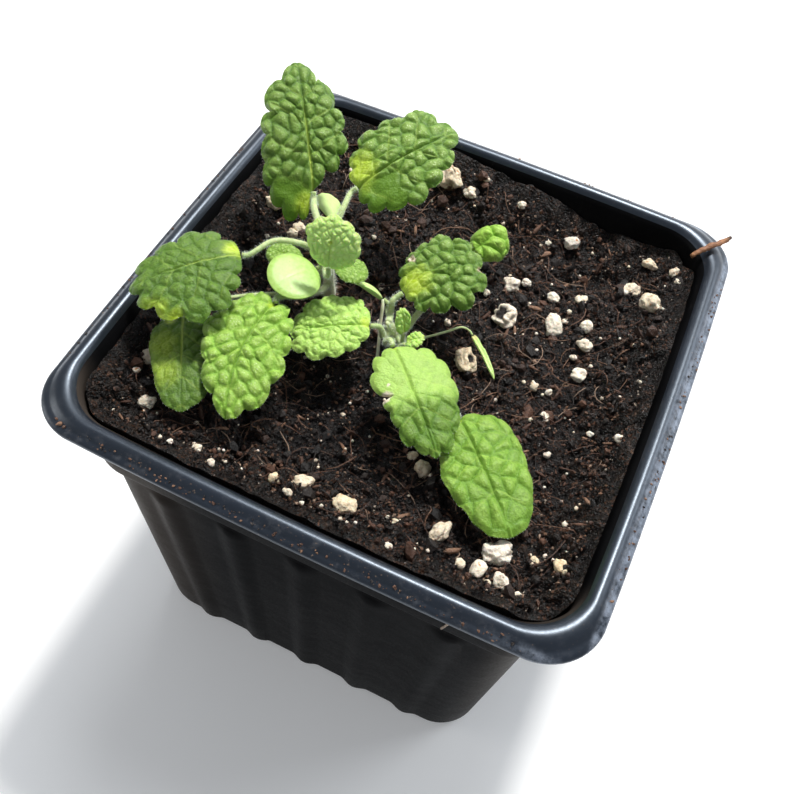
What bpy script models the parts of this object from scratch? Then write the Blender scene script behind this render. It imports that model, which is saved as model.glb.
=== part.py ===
"""A potted white horehound: two seedlings in a square black nursery pot of potting mix.

Sizes are in millimetres, and each mesh is turned into metres when it is made. The pot stands on Z = 0 with
its axis on Z. Its sides face X and Y.
"""

import math
import random
from dataclasses import dataclass

import bmesh
import bpy
from mathutils import Vector, noise

MM = 0.001
GAP = 0.3  # between any two pieces that rest on each other

# Pot
POT_SIDE = 90.0  # across the lip
POT_HEIGHT = 80.0  # to the crest of the rim bead
WALL = 0.9
BASE_HALF = 36.5
SHOULDER_Z = 60.5  # the ribs and the plain wall end here, and the collar begins
WALL_TOP_HALF = 39.0
COLLAR_HALF = 40.0
BASE_CORNER = 8.7
COLLAR_CORNER = 8.2
FOOT_FILLET = 2.5
RIM_BOW = 0.7  # how far the middle of each rim side stands out
RIBS = 5
RIB_PITCH = 12.8
RIB_WIDTH = 5.4
RIB_FLANK = 1.2
RIB_HEIGHT = 0.7
RIB_FADE = 2.2  # height over which the ribs round off under the collar
CORNER_STEPS = 5
SHOULDER_RISE = 2.6  # from the plain wall out to the collar
COLLAR_TOP = 76.2  # the rim begins here
COLLAR_LEAN = 0.5  # how much wider the collar is at its top
SIDE_STEP = 0.66  # the plain rings have points at this share of each side
# The rim, from the collar's outside over the hanging lip, the groove and the bead to the inside: half the
# width at the corners, corner radius and height
RIM = [
    (40.7, 8.9, 78.6), (41.5, 9.2, 79.0), (42.5, 9.2, 78.2), (43.2, 9.2, 78.1), (43.6, 9.2, 77.4),
    (44.3, 9.2, 77.5), (44.3, 9.2, 78.7), (43.7, 9.2, 79.2), (43.0, 9.2, 79.0), (42.4, 9.3, 79.2),
    (42.0, 9.4, 79.8), (41.5, 9.4, 80.0), (40.8, 9.2, 79.8), (40.1, 9.0, 79.0),
]
CROSS_WIDTH = 19.0  # the raised cross under the floor
CROSS_HEIGHT = 2.5
FLOOR = 1.0
DRAIN_RADIUS = 3.0
DRAIN_PLACE = 21.0

# Soil
SOIL_LEVEL = 72.3
SOIL_EDGE_RISE = 5.2
SOIL_EDGE_BAND = 9.0
# Broad swells and hollows of the soil: x, y, spread and rise
SOIL_SWELLS = [
    (-4.0, -20.0, 6.5, -2.4),
    (22.0, 39.0, 5.0, -5.5),
    (-14.0, 34.0, 9.0, 1.6),
    (34.0, 12.0, 8.0, 1.0),
]
SOIL_ROUND = 64  # points round the surface
SOIL_RINGS = 12
SOIL_FINE_RINGS = 9  # the rings nearer the middle have half the points
SINK = 0.12  # share of its width by which a grain's middle stands above the soil
SOIL_ROUGHNESS = 0.75
PERLITE_SEED = 7

# Leaves and stems
BLADE = 0.7  # thickness
PETIOLE_SIDES = 6
STEM_SIDES = 8
HEART_TURN = 0.62  # where round the outline a heart-shaped base reaches furthest back
HEART_SPREAD = 0.42

GREEN = (0.16, 0.35, 0.05)
FRESH = (0.27, 0.50, 0.08)
OLD = (0.13, 0.27, 0.04)
PALE = (0.45, 0.62, 0.20)

STEM_LEFT = [(-16.2, 2.5, 62.5), (-16.2, 2.5, 70.0), (-16.8, 2.4, 80.0), (-17.7, 1.9, 88.0)]
STEM_RIGHT = [(-0.2, -1.6, 62.5), (-0.2, -1.6, 70.0), (-0.8, -2.2, 75.0), (-3.0, -4.0, 80.2)]
STEM_RADIUS = 1.15
STEM_TAPER = 0.3  # share of the radius lost up to the top
STEM_STEPS = 3
PETIOLE_STUB = 1.0  # the petiole leaves the stem squarely for this far
PETIOLE_END = 1.5  # and runs in line with the blade for this far,
PETIOLE_DIP = 0.5  # coming from a little below it


@dataclass
class Leaf:
    """One leaf: its midrib runs from base to tip, and its petiole from beside the stem to the base."""

    name: str
    base: tuple
    tip: tuple
    half_width: float
    stem: list
    joint: float  # height at which the petiole leaves the stem
    route: list  # points of the petiole between the stem and the base
    radius: float  # of the petiole
    colour: tuple
    lobes: int = 0  # round lobes along each edge
    lobe_depth: float = 0.0
    taper: float = 0.0  # above 0 the widest place is near the base
    roll: float = 0.0  # degrees round the midrib
    arch: float = 1.0  # how far the midrib rises in its middle
    cup: float = -1.0  # how far the edges stand above the midrib
    sway: float = 0.0  # how far the midrib bows to the right
    heart: tuple = (0.0, 0.0)  # how far the left and right sides reach back past the base
    relief: float = 0.0  # height of the cells between the veins


LEAVES = [
    Leaf("leaf_left_tall", (-23.1, 8.8, 88.6), (-34.2, 24.1, 99.0), 7.5,
         STEM_LEFT, 87.2, [(-21.2, 5.6, 88.0)], 0.55, GREEN,
         lobes=7, lobe_depth=1.4, taper=0.02, arch=1.6, cup=-1.2, heart=(2.6, 0.5), relief=0.5),
    Leaf("leaf_left_back", (-16.8, 12.7, 89.0), (-5.9, 27.2, 94.2), 8.4,
         STEM_LEFT, 85.4, [(-17.3, 8.4, 87.8)], 0.6, GREEN,
         lobes=7, lobe_depth=1.3, taper=0.05, roll=12, arch=1.5, cup=-1.0, heart=(1.0, 1.5), relief=0.5),
    Leaf("leaf_left_outer", (-26.6, -8.8, 88.0), (-39.3, -21.2, 85.0), 8.0,
         STEM_LEFT, 84.4, [(-20.4, -0.4, 86.0), (-23.4, -3.8, 88.2)], 0.6, GREEN,
         lobes=7, lobe_depth=1.2, taper=0.05, arch=1.4, cup=-1.2, heart=(1.0, 1.0), relief=0.5),
    Leaf("leaf_left_front", (-19.2, -11.4, 83.4), (-17.0, -31.1, 78.6), 7.3,
         STEM_LEFT, 76.2, [(-17.3, -6.0, 80.6)], 0.7, FRESH,
         lobes=8, lobe_depth=1.2, taper=0.12, roll=-4, arch=1.8, cup=-1.4, sway=1.6, relief=0.6),
    Leaf("leaf_left_old", (-32.6, -17.4, 79.4), (-23.8, -32.6, 77.6), 5.9,
         STEM_LEFT, 73.8, [(-26.8, -7.6, 77.0)], 0.45, OLD,
         lobes=6, lobe_depth=0.5, roll=6, arch=0.8, cup=-0.5, relief=0.25),
    Leaf("leaf_left_young", (-13.4, -4.7, 88.2), (-14.3, -1.2, 96.0), 4.7,
         STEM_LEFT, 87.0, [(-15.4, -1.4, 86.7), (-14.2, -4.0, 85.9)], 0.5, FRESH,
         lobes=6, lobe_depth=0.7, taper=0.1, cup=-1.2, relief=0.4),
    Leaf("leaf_left_small", (-13.9, -1.3, 85.3), (-8.5, -0.1, 84.4), 3.4,
         STEM_LEFT, 84.0, [(-16.2, -1.1, 84.7)], 0.45, GREEN,
         lobes=5, lobe_depth=0.5, roll=-14, arch=0.6, cup=-0.6, relief=0.3),
    Leaf("leaf_left_side", (-20.2, -0.6, 81.4), (-26.6, -0.6, 81.8), 2.7,
         STEM_LEFT, 79.4, [(-18.0, 0.1, 80.2)], 0.4, GREEN,
         lobes=4, lobe_depth=0.5, arch=0.5, cup=-0.4, relief=0.3),
    Leaf("seed_leaf_left_round", (-16.6, -2.6, 84.4), (-20.6, -10.0, 85.2), 4.5,
         STEM_LEFT, 81.2, [(-15.9, -0.6, 83.2)], 0.4, PALE, roll=-8, arch=0.4, cup=0.3),
    Leaf("seed_leaf_left_back", (-19.9, 12.2, 80.2), (-24.6, 15.2, 82.0), 2.3,
         STEM_LEFT, 77.0, [(-19.0, 8.8, 79.0)], 0.4, PALE, roll=20, arch=0.3, cup=0.3),
    Leaf("leaf_right_round", (-2.4, 0.6, 83.2), (6.2, 11.3, 86.0), 6.9,
         STEM_RIGHT, 79.7, [(-3.5, -1.2, 82.0)], 0.5, GREEN,
         lobes=6, lobe_depth=1.1, roll=6, arch=1.4, cup=-1.4, heart=(1.0, 1.0), relief=0.5),
    Leaf("leaf_right_left", (-4.9, -6.7, 81.2), (-15.9, -12.8, 79.6), 5.4,
         STEM_RIGHT, 78.2, [(-3.0, -5.6, 79.6)], 0.5, FRESH,
         lobes=7, lobe_depth=0.8, roll=-6, arch=0.8, cup=-1.0, relief=0.5),
    Leaf("leaf_right_front", (0.4, -9.2, 82.0), (13.9, -22.7, 79.0), 6.0,
         STEM_RIGHT, 76.8, [(-1.5, -7.8, 80.2)], 0.5, PALE,
         lobes=6, lobe_depth=1.1, taper=0.04, arch=1.2, cup=-1.0, relief=0.3),
    Leaf("leaf_right_lower", (13.9, -12.8, 76.0), (28.3, -27.9, 75.6), 6.4,
         STEM_RIGHT, 73.6, [(7.4, -8.4, 75.6)], 0.5, FRESH,
         lobes=5, lobe_depth=0.2, arch=1.3, cup=-0.8, relief=0.35),
    Leaf("leaf_right_curled", (4.9, 17.6, 78.4), (6.4, 24.6, 80.6), 3.4,
         STEM_RIGHT, 76.4, [(0.4, 2.0, 78.6), (2.2, 8.6, 79.6)], 0.5, GREEN,
         lobes=4, lobe_depth=0.6, roll=10, arch=0.9, cup=-1.0, relief=0.3),
    Leaf("seed_leaf_right_narrow", (-5.7, 0.3, 80.2), (-11.0, -0.5, 82.0), 2.0,
         STEM_RIGHT, 77.6, [(-4.6, -0.2, 78.6)], 0.4, PALE, roll=42, arch=0.3, cup=0.4),
    Leaf("seed_leaf_right_withered", (9.4, 5.3, 73.9), (15.9, -1.4, 73.9), 0.9,
         STEM_RIGHT, 73.8, [(4.9, 3.6, 73.9), (6.9, 5.9, 73.9)], 0.4, PALE, arch=0.6, cup=0.2),
    Leaf("leaf_right_tip_back", (0.2, -4.4, 79.6), (-1.2, -3.6, 84.4), 1.5,
         STEM_RIGHT, 77.0, [(0.4, -4.6, 77.4)], 0.4, FRESH,
         lobes=3, lobe_depth=0.3, arch=0.3, cup=0.0, relief=0.1),
    Leaf("leaf_right_tip_front", (1.2, -5.8, 79.4), (4.0, -5.2, 81.4), 1.7,
         STEM_RIGHT, 75.8, [(0.3, -5.8, 77.6)], 0.4, FRESH,
         lobes=3, lobe_depth=0.3, arch=0.3, cup=0.0, relief=0.1),
]

# Perlite grains on the soil: x, y and width
GRAINS = [
    (-8.0, 35.6, 5.2), (-3.4, 35.0, 2.6), (17.3, 35.0, 3.4), (11.0, 20.6, 3.2), (12.7, 13.0, 4.4),
    (20.9, 14.9, 3.9), (10.2, 0.8, 4.6), (12.2, -21.7, 3.0), (18.7, -30.5, 3.6), (27.5, -29.6, 4.2),
    (26.0, -34.2, 2.9), (29.6, -34.4, 2.7), (-2.9, -33.0, 3.0), (4.3, -33.6, 3.4), (-34.8, -24.6, 3.0),
    (-31.6, -31.2, 2.7), (-34.4, 15.8, 3.4), (30.9, 30.6, 3.4), (34.6, 26.0, 3.6), (28.0, 6.7, 2.8),
    (23.5, 22.7, 2.8), (36.4, -29.1, 2.4), (-28.6, 14.4, 2.6), (27.1, 12.9, 2.4),
]

SLIVER = [(37.6, 35.2, 79.9), (39.4, 37.2, 80.9), (41.2, 39.2, 81.2), (42.6, 41.4, 81.4)]


def polar_angle(x, y):
    """The angle of a point round the origin, from 0 to a full turn."""
    return math.atan2(y, x) % math.tau


def stitch(bm, first, second, first_angles, second_angles):
    """Joins two closed loops of any counts with triangles, matched by angle round a shared centre."""
    first = [vert for _, vert in sorted(zip(first_angles, first), key=lambda pair: pair[0])]
    second = [vert for _, vert in sorted(zip(second_angles, second), key=lambda pair: pair[0])]
    first_angles = sorted(first_angles) + [min(first_angles) + math.tau]
    second_angles = sorted(second_angles) + [min(second_angles) + math.tau]
    i = 0
    j = 0
    while i < len(first) or j < len(second):
        here = first[i % len(first)]
        there = second[j % len(second)]
        step_first = i < len(first) and (j == len(second) or first_angles[i + 1] <= second_angles[j + 1])
        if step_first:
            i += 1
            bm.faces.new((here, first[i % len(first)], there))
        else:
            j += 1
            bm.faces.new((here, second[j % len(second)], there))


def link_rings(bm, first, second):
    """Joins two loops of one count with quads."""
    count = len(first)
    for i in range(count):
        after = (i + 1) % count
        bm.faces.new((first[i], first[after], second[after], second[i]))


def make_material(name, colour, roughness):
    """A plain painted-looking surface."""
    material = bpy.data.materials.get(name)
    if material:
        return material
    material = bpy.data.materials.new(name)
    material.use_nodes = True
    shader = material.node_tree.nodes["Principled BSDF"]
    shader.inputs["Base Color"].default_value = (*colour, 1.0)
    shader.inputs["Roughness"].default_value = roughness
    shader.inputs["Metallic"].default_value = 0.0
    material.diffuse_color = (*colour, 1.0)
    return material


def make_object(name, bm, material, smooth=False):
    """Turns a mesh in millimetres into an object in metres."""
    bmesh.ops.recalc_face_normals(bm, faces=bm.faces)
    bmesh.ops.triangulate(bm, faces=bm.faces)
    bmesh.ops.scale(bm, vec=(MM, MM, MM), verts=bm.verts)
    mesh = bpy.data.meshes.new(name)
    bm.to_mesh(mesh)
    bm.free()
    if smooth:
        mesh.shade_smooth()
    mesh.materials.append(material)
    item = bpy.data.objects.new(name, mesh)
    bpy.context.collection.objects.link(item)
    return item


def apply_boolean(target, other, operation):
    """Cuts or joins one object with another, and removes the other."""
    modifier = target.modifiers.new("join", "BOOLEAN")
    modifier.operation = operation
    modifier.solver = "EXACT"
    modifier.object = other
    other.hide_render = True
    other.display_type = "WIRE"
    bpy.context.view_layer.update()
    graph = bpy.context.evaluated_depsgraph_get()
    mesh = bpy.data.meshes.new_from_object(target.evaluated_get(graph))
    target.modifiers.clear()
    target.data = mesh
    bpy.data.objects.remove(other)


def box_object(name, low, high, material):
    """A plain box between two corners, used as a cutter or to be joined."""
    bm = bmesh.new()
    bmesh.ops.create_cube(bm, size=1.0)
    for vert in bm.verts:
        for axis in range(3):
            vert.co[axis] = low[axis] if vert.co[axis] < 0 else high[axis]
    return make_object(name, bm, material)


def rod_object(name, place, radius, low, high, material, sides=12):
    """An upright closed cylinder, used as a cutter."""
    bm = bmesh.new()
    size = {"radius1": radius, "radius2": radius, "depth": high - low}
    bmesh.ops.create_cone(bm, cap_ends=True, segments=sides, **size)
    bmesh.ops.translate(bm, verts=bm.verts, vec=(place[0], place[1], (low + high) / 2))
    return make_object(name, bm, material)


def rib_height(along, share):
    """How far the ribs stand out of a side at a place along it."""
    nearest = max(-(RIBS // 2), min(RIBS // 2, round(along / RIB_PITCH)))
    off = abs(along - nearest * RIB_PITCH)
    rise = (RIB_WIDTH / 2 - off) / RIB_FLANK
    return share * RIB_HEIGHT * max(0.0, min(1.0, rise))


def side_stops(half, radius, ribbed):
    """Places along one side of a ring: the feet and tops of the ribs, or a few even steps."""
    if not ribbed:
        reach = (half - radius) * SIDE_STEP
        return [-reach, 0.0, reach]
    stops = []
    for rib in range(-(RIBS // 2), RIBS // 2 + 1):
        middle = rib * RIB_PITCH
        for off in (RIB_WIDTH / 2, RIB_WIDTH / 2 - RIB_FLANK):
            stops.extend((middle - off, middle + off))
    return sorted(stops)


def square_ring(half, radius, z, ribs=0.0, bow=0.0, ribbed=False):
    """Points of a rounded square, anticlockwise from its +X side, with ribs on each side if asked."""
    side = []
    for along in side_stops(half, radius, ribbed):
        out = half + rib_height(along, ribs) + bow * (1 - (along / half) ** 2)
        side.append((out, along))
    corner = half - radius
    for step in range(CORNER_STEPS + 1):
        turn = math.pi / 2 * step / CORNER_STEPS
        side.append((corner + radius * math.cos(turn), corner + radius * math.sin(turn)))
    points = []
    for quarter in range(4):
        c = round(math.cos(quarter * math.pi / 2))
        s = round(math.sin(quarter * math.pi / 2))
        points.extend(Vector((x * c - y * s, x * s + y * c, z)) for x, y in side)
    return points


def wall_half(z):
    """Half the width of the plain wall at a height, outside."""
    return BASE_HALF + (WALL_TOP_HALF - BASE_HALF) * z / SHOULDER_Z


def pot_rings():
    """The pot's section from the middle of its underside, out and up, over the rim and down inside."""
    top = COLLAR_HALF + COLLAR_LEAN
    collar_foot = SHOULDER_Z + SHOULDER_RISE
    slant = FOOT_FILLET * (1 - math.sqrt(0.5))
    rib_end = SHOULDER_Z - 1.2
    rib_top = rib_end - RIB_FADE
    outer = [
        (BASE_HALF - FOOT_FILLET, BASE_CORNER - 2.0, 0.0, 0.6, 0.0, True),
        (BASE_HALF - slant, BASE_CORNER - 0.8, slant, 0.8, 0.0, True),
        (wall_half(FOOT_FILLET), BASE_CORNER, FOOT_FILLET, 1.0, 0.0, True),
        (wall_half(rib_top), COLLAR_CORNER, rib_top, 1.0, 0.0, True),
        (wall_half(rib_end), COLLAR_CORNER, rib_end, 0.0, 0.0, True),
        (wall_half(SHOULDER_Z), COLLAR_CORNER, SHOULDER_Z, 0.0, 0.1, False),
        (COLLAR_HALF, COLLAR_CORNER - 0.6, collar_foot, 0.0, 0.3, False),
        (top, COLLAR_CORNER, COLLAR_TOP, 0.0, RIM_BOW, False),
    ]
    rim = [(half, radius, z, 0.0, RIM_BOW, False) for half, radius, z in RIM]
    inner = [
        (top - WALL, COLLAR_CORNER - WALL, COLLAR_TOP, 0.0, RIM_BOW, False),
        (COLLAR_HALF - WALL, COLLAR_CORNER - 0.6 - WALL, collar_foot - 0.3, 0.0, 0.3, False),
        (wall_half(SHOULDER_Z) - WALL, COLLAR_CORNER - WALL, SHOULDER_Z - 0.3, 0.0, 0.1, False),
        (wall_half(FOOT_FILLET) - WALL, BASE_CORNER - WALL, FOOT_FILLET + 0.4, 0.0, 0.0, False),
        (BASE_HALF - FOOT_FILLET - 0.4, BASE_CORNER - 2.4, FLOOR, 0.0, 0.0, False),
    ]
    return outer + rim + inner


def make_pot(material):
    """The pot, turned from its section, with the raised cross and the drain holes in its floor."""
    bm = bmesh.new()
    rings = []
    for half, radius, z, ribs, bow, ribbed in pot_rings():
        points = square_ring(half, radius, z, ribs, bow, ribbed)
        rings.append([bm.verts.new(point) for point in points])
    for below, above in zip(rings, rings[1:]):
        if len(below) == len(above):
            link_rings(bm, below, above)
        else:
            stitch(bm, below, above, [polar_angle(v.co.x, v.co.y) for v in below],
                   [polar_angle(v.co.x, v.co.y) for v in above])
    bm.faces.new(rings[0])
    bm.faces.new(rings[-1])
    pot = make_object("pot", bm, material)

    reach = BASE_HALF - WALL + 0.15
    arm = CROSS_WIDTH / 2 + WALL
    roof = CROSS_HEIGHT + WALL
    low = FLOOR - 0.2
    apply_boolean(pot, box_object("cross_x", (-reach, -arm, low), (reach, arm, roof), material), "UNION")
    apply_boolean(pot, box_object("cross_y", (-arm, -reach, low), (arm, reach, roof), material), "UNION")
    far = POT_SIDE / 2
    arm = CROSS_WIDTH / 2
    channel_x = box_object("channel_x", (-far, -arm, -1.0), (far, arm, CROSS_HEIGHT), material)
    channel_y = box_object("channel_y", (-arm, -far, -1.0), (arm, far, CROSS_HEIGHT), material)
    apply_boolean(pot, channel_x, "DIFFERENCE")
    apply_boolean(pot, channel_y, "DIFFERENCE")
    places = [(0, 0), (DRAIN_PLACE, 0), (-DRAIN_PLACE, 0), (0, DRAIN_PLACE), (0, -DRAIN_PLACE)]
    for place in places:
        drain = rod_object("drain", place, DRAIN_RADIUS, 0.5, roof + 1.0, material)
        apply_boolean(pot, drain, "DIFFERENCE")
    return pot


def mound(x, y, middle_x, middle_y, spread):
    """A smooth bump of height 1 round a place."""
    return math.exp(-((x - middle_x) ** 2 + (y - middle_y) ** 2) / (2 * spread**2))


def soil_height(x, y):
    """The height of the soil: low in the middle, heaped at the walls, uneven all over."""
    edge = max(0.0, max(abs(x), abs(y)) - (BASE_HALF + 2 - SOIL_EDGE_BAND)) / SOIL_EDGE_BAND
    height = SOIL_LEVEL + SOIL_EDGE_RISE * edge**1.6
    for middle_x, middle_y, spread, rise in SOIL_SWELLS:
        height += rise * mound(x, y, middle_x, middle_y, spread)
    height += SOIL_ROUGHNESS * noise.noise(Vector((x * 0.21, y * 0.21, 1.7)))
    height += SOIL_ROUGHNESS * 0.7 * noise.noise(Vector((x * 0.47, y * 0.47, 5.1)))
    return height


def soil_ring(half, radius, count):
    """Points of a rounded square at even angles."""
    points = []
    for step in range(count):
        turn = math.tau * step / count
        c, s = math.cos(turn), math.sin(turn)
        reach = half / max(abs(c), abs(s))
        corner = half - radius
        if abs(c * reach) > corner and abs(s * reach) > corner:
            along = corner * (abs(c) + abs(s))
            reach = along + math.sqrt(max(0.0, along**2 - 2 * corner**2 + radius**2))
        points.append((c * reach, s * reach))
    return points


def make_grain(bm, rng, x, y, width):
    """One squat faceted grain, its root sunk in the soil."""
    made = bmesh.ops.create_icosphere(bm, subdivisions=1, radius=width / 2)
    place = Vector((x, y, soil_height(x, y) + width * SINK))
    stretch = Vector((rng.uniform(0.85, 1.15), rng.uniform(0.75, 1.05), rng.uniform(0.7, 0.9)))
    turn = rng.uniform(0, math.tau)
    c, s = math.cos(turn), math.sin(turn)
    for vert in made["verts"]:
        point = vert.co * rng.uniform(0.9, 1.1)
        point = Vector((point.x * stretch.x, point.y * stretch.y, point.z * stretch.z))
        vert.co = place + Vector((point.x * c - point.y * s, point.x * s + point.y * c, point.z))


def make_soil(soil_material, pot_material):
    """The potting mix: it fills the pot, follows the raised cross, and holds the perlite and the stems."""
    bm = bmesh.new()
    inside = WALL + GAP
    sections = [
        (BASE_HALF - FOOT_FILLET - 0.4 - 1.0, BASE_CORNER - 2.0, FLOOR + GAP),
        (wall_half(FOOT_FILLET) - inside - 0.4, BASE_CORNER - 1.0, FOOT_FILLET + 1.4),
        (wall_half(SHOULDER_Z) - inside, COLLAR_CORNER - inside, SHOULDER_Z),
        (COLLAR_HALF - inside, COLLAR_CORNER - inside, SHOULDER_Z + 3.2),
    ]
    rings = []
    for half, radius, z in sections:
        rings.append([bm.verts.new((x, y, z)) for x, y in soil_ring(half, radius, SOIL_ROUND)])
    edge = COLLAR_HALF + 0.2 - inside
    for ring in range(SOIL_RINGS):
        share = (1 - ring / SOIL_RINGS) ** 0.85
        count = SOIL_ROUND if ring < SOIL_FINE_RINGS else SOIL_ROUND // 2
        points = soil_ring(edge * share, (COLLAR_CORNER - inside) * share, count)
        rings.append([bm.verts.new((x, y, soil_height(x, y))) for x, y in points])
    for below, above in zip(rings, rings[1:]):
        if len(below) == len(above):
            link_rings(bm, below, above)
        else:
            stitch(bm, below, above, [polar_angle(v.co.x, v.co.y) for v in below],
                   [polar_angle(v.co.x, v.co.y) for v in above])
    bm.faces.new(rings[0])
    peak = bm.verts.new((0, 0, soil_height(0, 0)))
    for i, vert in enumerate(rings[-1]):
        bm.faces.new((vert, rings[-1][(i + 1) % len(rings[-1])], peak))
    soil = make_object("soil", bm, soil_material)

    grains = bmesh.new()
    rng = random.Random(PERLITE_SEED)
    for x, y, width in GRAINS:
        make_grain(grains, rng, x, y, width)
    apply_boolean(soil, make_object("grains", grains, soil_material), "UNION")

    far = POT_SIDE / 2
    arm = CROSS_WIDTH / 2 + WALL + GAP
    roof = CROSS_HEIGHT + WALL + GAP
    for reach_x, reach_y in ((far, arm), (arm, far)):
        channel = box_object("channel", (-reach_x, -reach_y, 0), (reach_x, reach_y, roof), pot_material)
        apply_boolean(soil, channel, "DIFFERENCE")
    for stem in (STEM_LEFT, STEM_RIGHT):
        x, y, foot = stem[0]
        radius = STEM_RADIUS + GAP
        hole = rod_object("hole", (x, y), radius, foot - GAP, POT_HEIGHT, soil_material, STEM_SIDES)
        apply_boolean(soil, hole, "DIFFERENCE")
    return soil


def smooth_path(points, steps):
    """Evenly taken points of a Catmull-Rom curve through the given ones."""
    points = [Vector(point) for point in points]
    ends = [points[0] * 2 - points[1]] + points + [points[-1] * 2 - points[-2]]
    path = []
    for i in range(len(points) - 1):
        a, b, c, d = ends[i : i + 4]
        for step in range(steps):
            t = step / steps
            path.append(0.5 * (2 * b + (c - a) * t + (2 * a - 5 * b + 4 * c - d) * t**2
                               + (3 * b - a - 3 * c + d) * t**3))
    path.append(points[-1])
    return path


def tube_rings(bm, path, radii, sides, sideways):
    """Rings of a round tube along a path; sideways sets where the first point of the last ring lies."""
    rings = []
    across = sideways
    for i in reversed(range(len(path))):
        along = (path[min(i + 1, len(path) - 1)] - path[max(i - 1, 0)]).normalized()
        across = (across - along * across.dot(along)).normalized()
        upward = across.cross(along).normalized()
        ring = []
        for side in range(sides):
            turn = math.tau * (side + 0.5) / sides
            out = across * math.cos(turn) + upward * math.sin(turn)
            ring.append(bm.verts.new(path[i] + out * radii[i]))
        rings.append(ring)
    return rings[::-1]


def stem_radius(share):
    """The radius of a stem at a share of its length."""
    return STEM_RADIUS * (1 - STEM_TAPER * share)


def make_stem(name, points, material):
    """A stem from the bottom of its hole to its top joint, a little thicker low down."""
    bm = bmesh.new()
    path = smooth_path(points, STEM_STEPS)
    radii = [stem_radius(i / (len(path) - 1)) for i in range(len(path))]
    rings = tube_rings(bm, path, radii, STEM_SIDES, Vector((1, 0, 0)))
    for below, above in zip(rings, rings[1:]):
        link_rings(bm, below, above)
    bm.faces.new(rings[0])
    bm.faces.new(rings[-1])
    return make_object(name, bm, material)


def petiole_path(leaf, base, forward, face):
    """The petiole's path: squarely out of the stem, through its own points, and in line with the blade."""
    path = smooth_path(leaf.stem, STEM_STEPS)
    last = len(path) - 2
    step = next(i for i in range(last + 1) if leaf.joint <= path[i + 1].z or i == last)
    share = (leaf.joint - path[step].z) / (path[step + 1].z - path[step].z)
    middle = path[step].lerp(path[step + 1], share)
    out = Vector(leaf.route[0]) - middle
    out.z = 0
    out.normalize()
    start = middle + out * (stem_radius((step + share) / (len(path) - 1)) + GAP)
    near = base - forward * PETIOLE_END - face * PETIOLE_DIP
    bent = smooth_path([start + out * PETIOLE_STUB, *leaf.route, near], 2)
    return [start] + bent + [base - forward * leaf.radius]


def blade_axes(leaf):
    """The leaf's own directions: along the midrib, to its right, and up out of its face."""
    base = Vector(leaf.base)
    along = Vector(leaf.tip) - base
    length = along.length
    along.normalize()
    face = Vector((0, 0, 1)) - along * along.z
    face.normalize()
    right = along.cross(face)
    turn = math.radians(leaf.roll)
    c, s = math.cos(turn), math.sin(turn)
    return base, along, right * c - face * s, face * c + right * s, length


def edge_point(leaf, length, turn, place, heart):
    """A point of the outline, along and across the midrib: an oval whose edge is cut into round lobes."""
    back = heart * math.exp(-(((turn - HEART_TURN) / HEART_SPREAD) ** 2))
    along = length / 2 * (1 - math.cos(turn)) - back
    across = leaf.half_width * math.sin(turn) * (1 + leaf.taper * 2 * math.cos(turn))
    out_along = -leaf.half_width * math.cos(turn)
    out_across = length / 2 * math.sin(turn)
    size = math.hypot(out_along, out_across)
    notch = abs(math.sin(math.pi * place)) ** 0.6 - 1
    depth = leaf.lobe_depth * notch * math.sin(turn) ** 0.7
    along += out_along / size * depth * math.sin(turn) * 0.6
    return along, across + out_across / size * depth


def blade_rows(leaf, length):
    """Rows of flat points across the blade, from base to tip, each with its share of the relief."""
    columns = (0.0, 0.45, 0.8, 1.0) if leaf.lobes else (0.0, 0.6, 1.0)
    bulge = (0.0, 1.0, 0.7, 0.0)
    count = leaf.lobes * 3 if leaf.lobes else 9
    first = math.asin(min(1.0, leaf.radius / leaf.half_width))
    last = math.pi - first * 1.1
    rows = []
    for row in range(count + 1):
        share = row / count
        turn = first + (last - first) * share
        place = leaf.lobes * share
        rib = length * ((1 - math.cos(turn)) / 2) ** 1.35
        crest = abs(math.sin(math.pi * place))
        sides = []
        for heart in leaf.heart:
            along, across = edge_point(leaf, length, turn, place, heart)
            side = []
            for column, t in enumerate(columns):
                lift = leaf.relief * bulge[column] * (0.25 + 0.75 * crest) * math.sin(turn)
                side.append((rib + (along - rib) * t, across * t, lift))
            sides.append(side)
        left, right = sides
        rows.append([(a, -b, lift) for a, b, lift in left[:0:-1]] + right)
    return rows


def blade_lift(leaf, length, along, across):
    """How far the middle of the blade stands above the straight line from base to tip."""
    return leaf.arch * bow(along / length) + leaf.cup * (across / leaf.half_width) ** 2


def bow(share):
    """A parabola from 0 at the base through 1 in the middle to 0 at the tip; it goes on past both ends."""
    return 4 * share * (1 - share)


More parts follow.
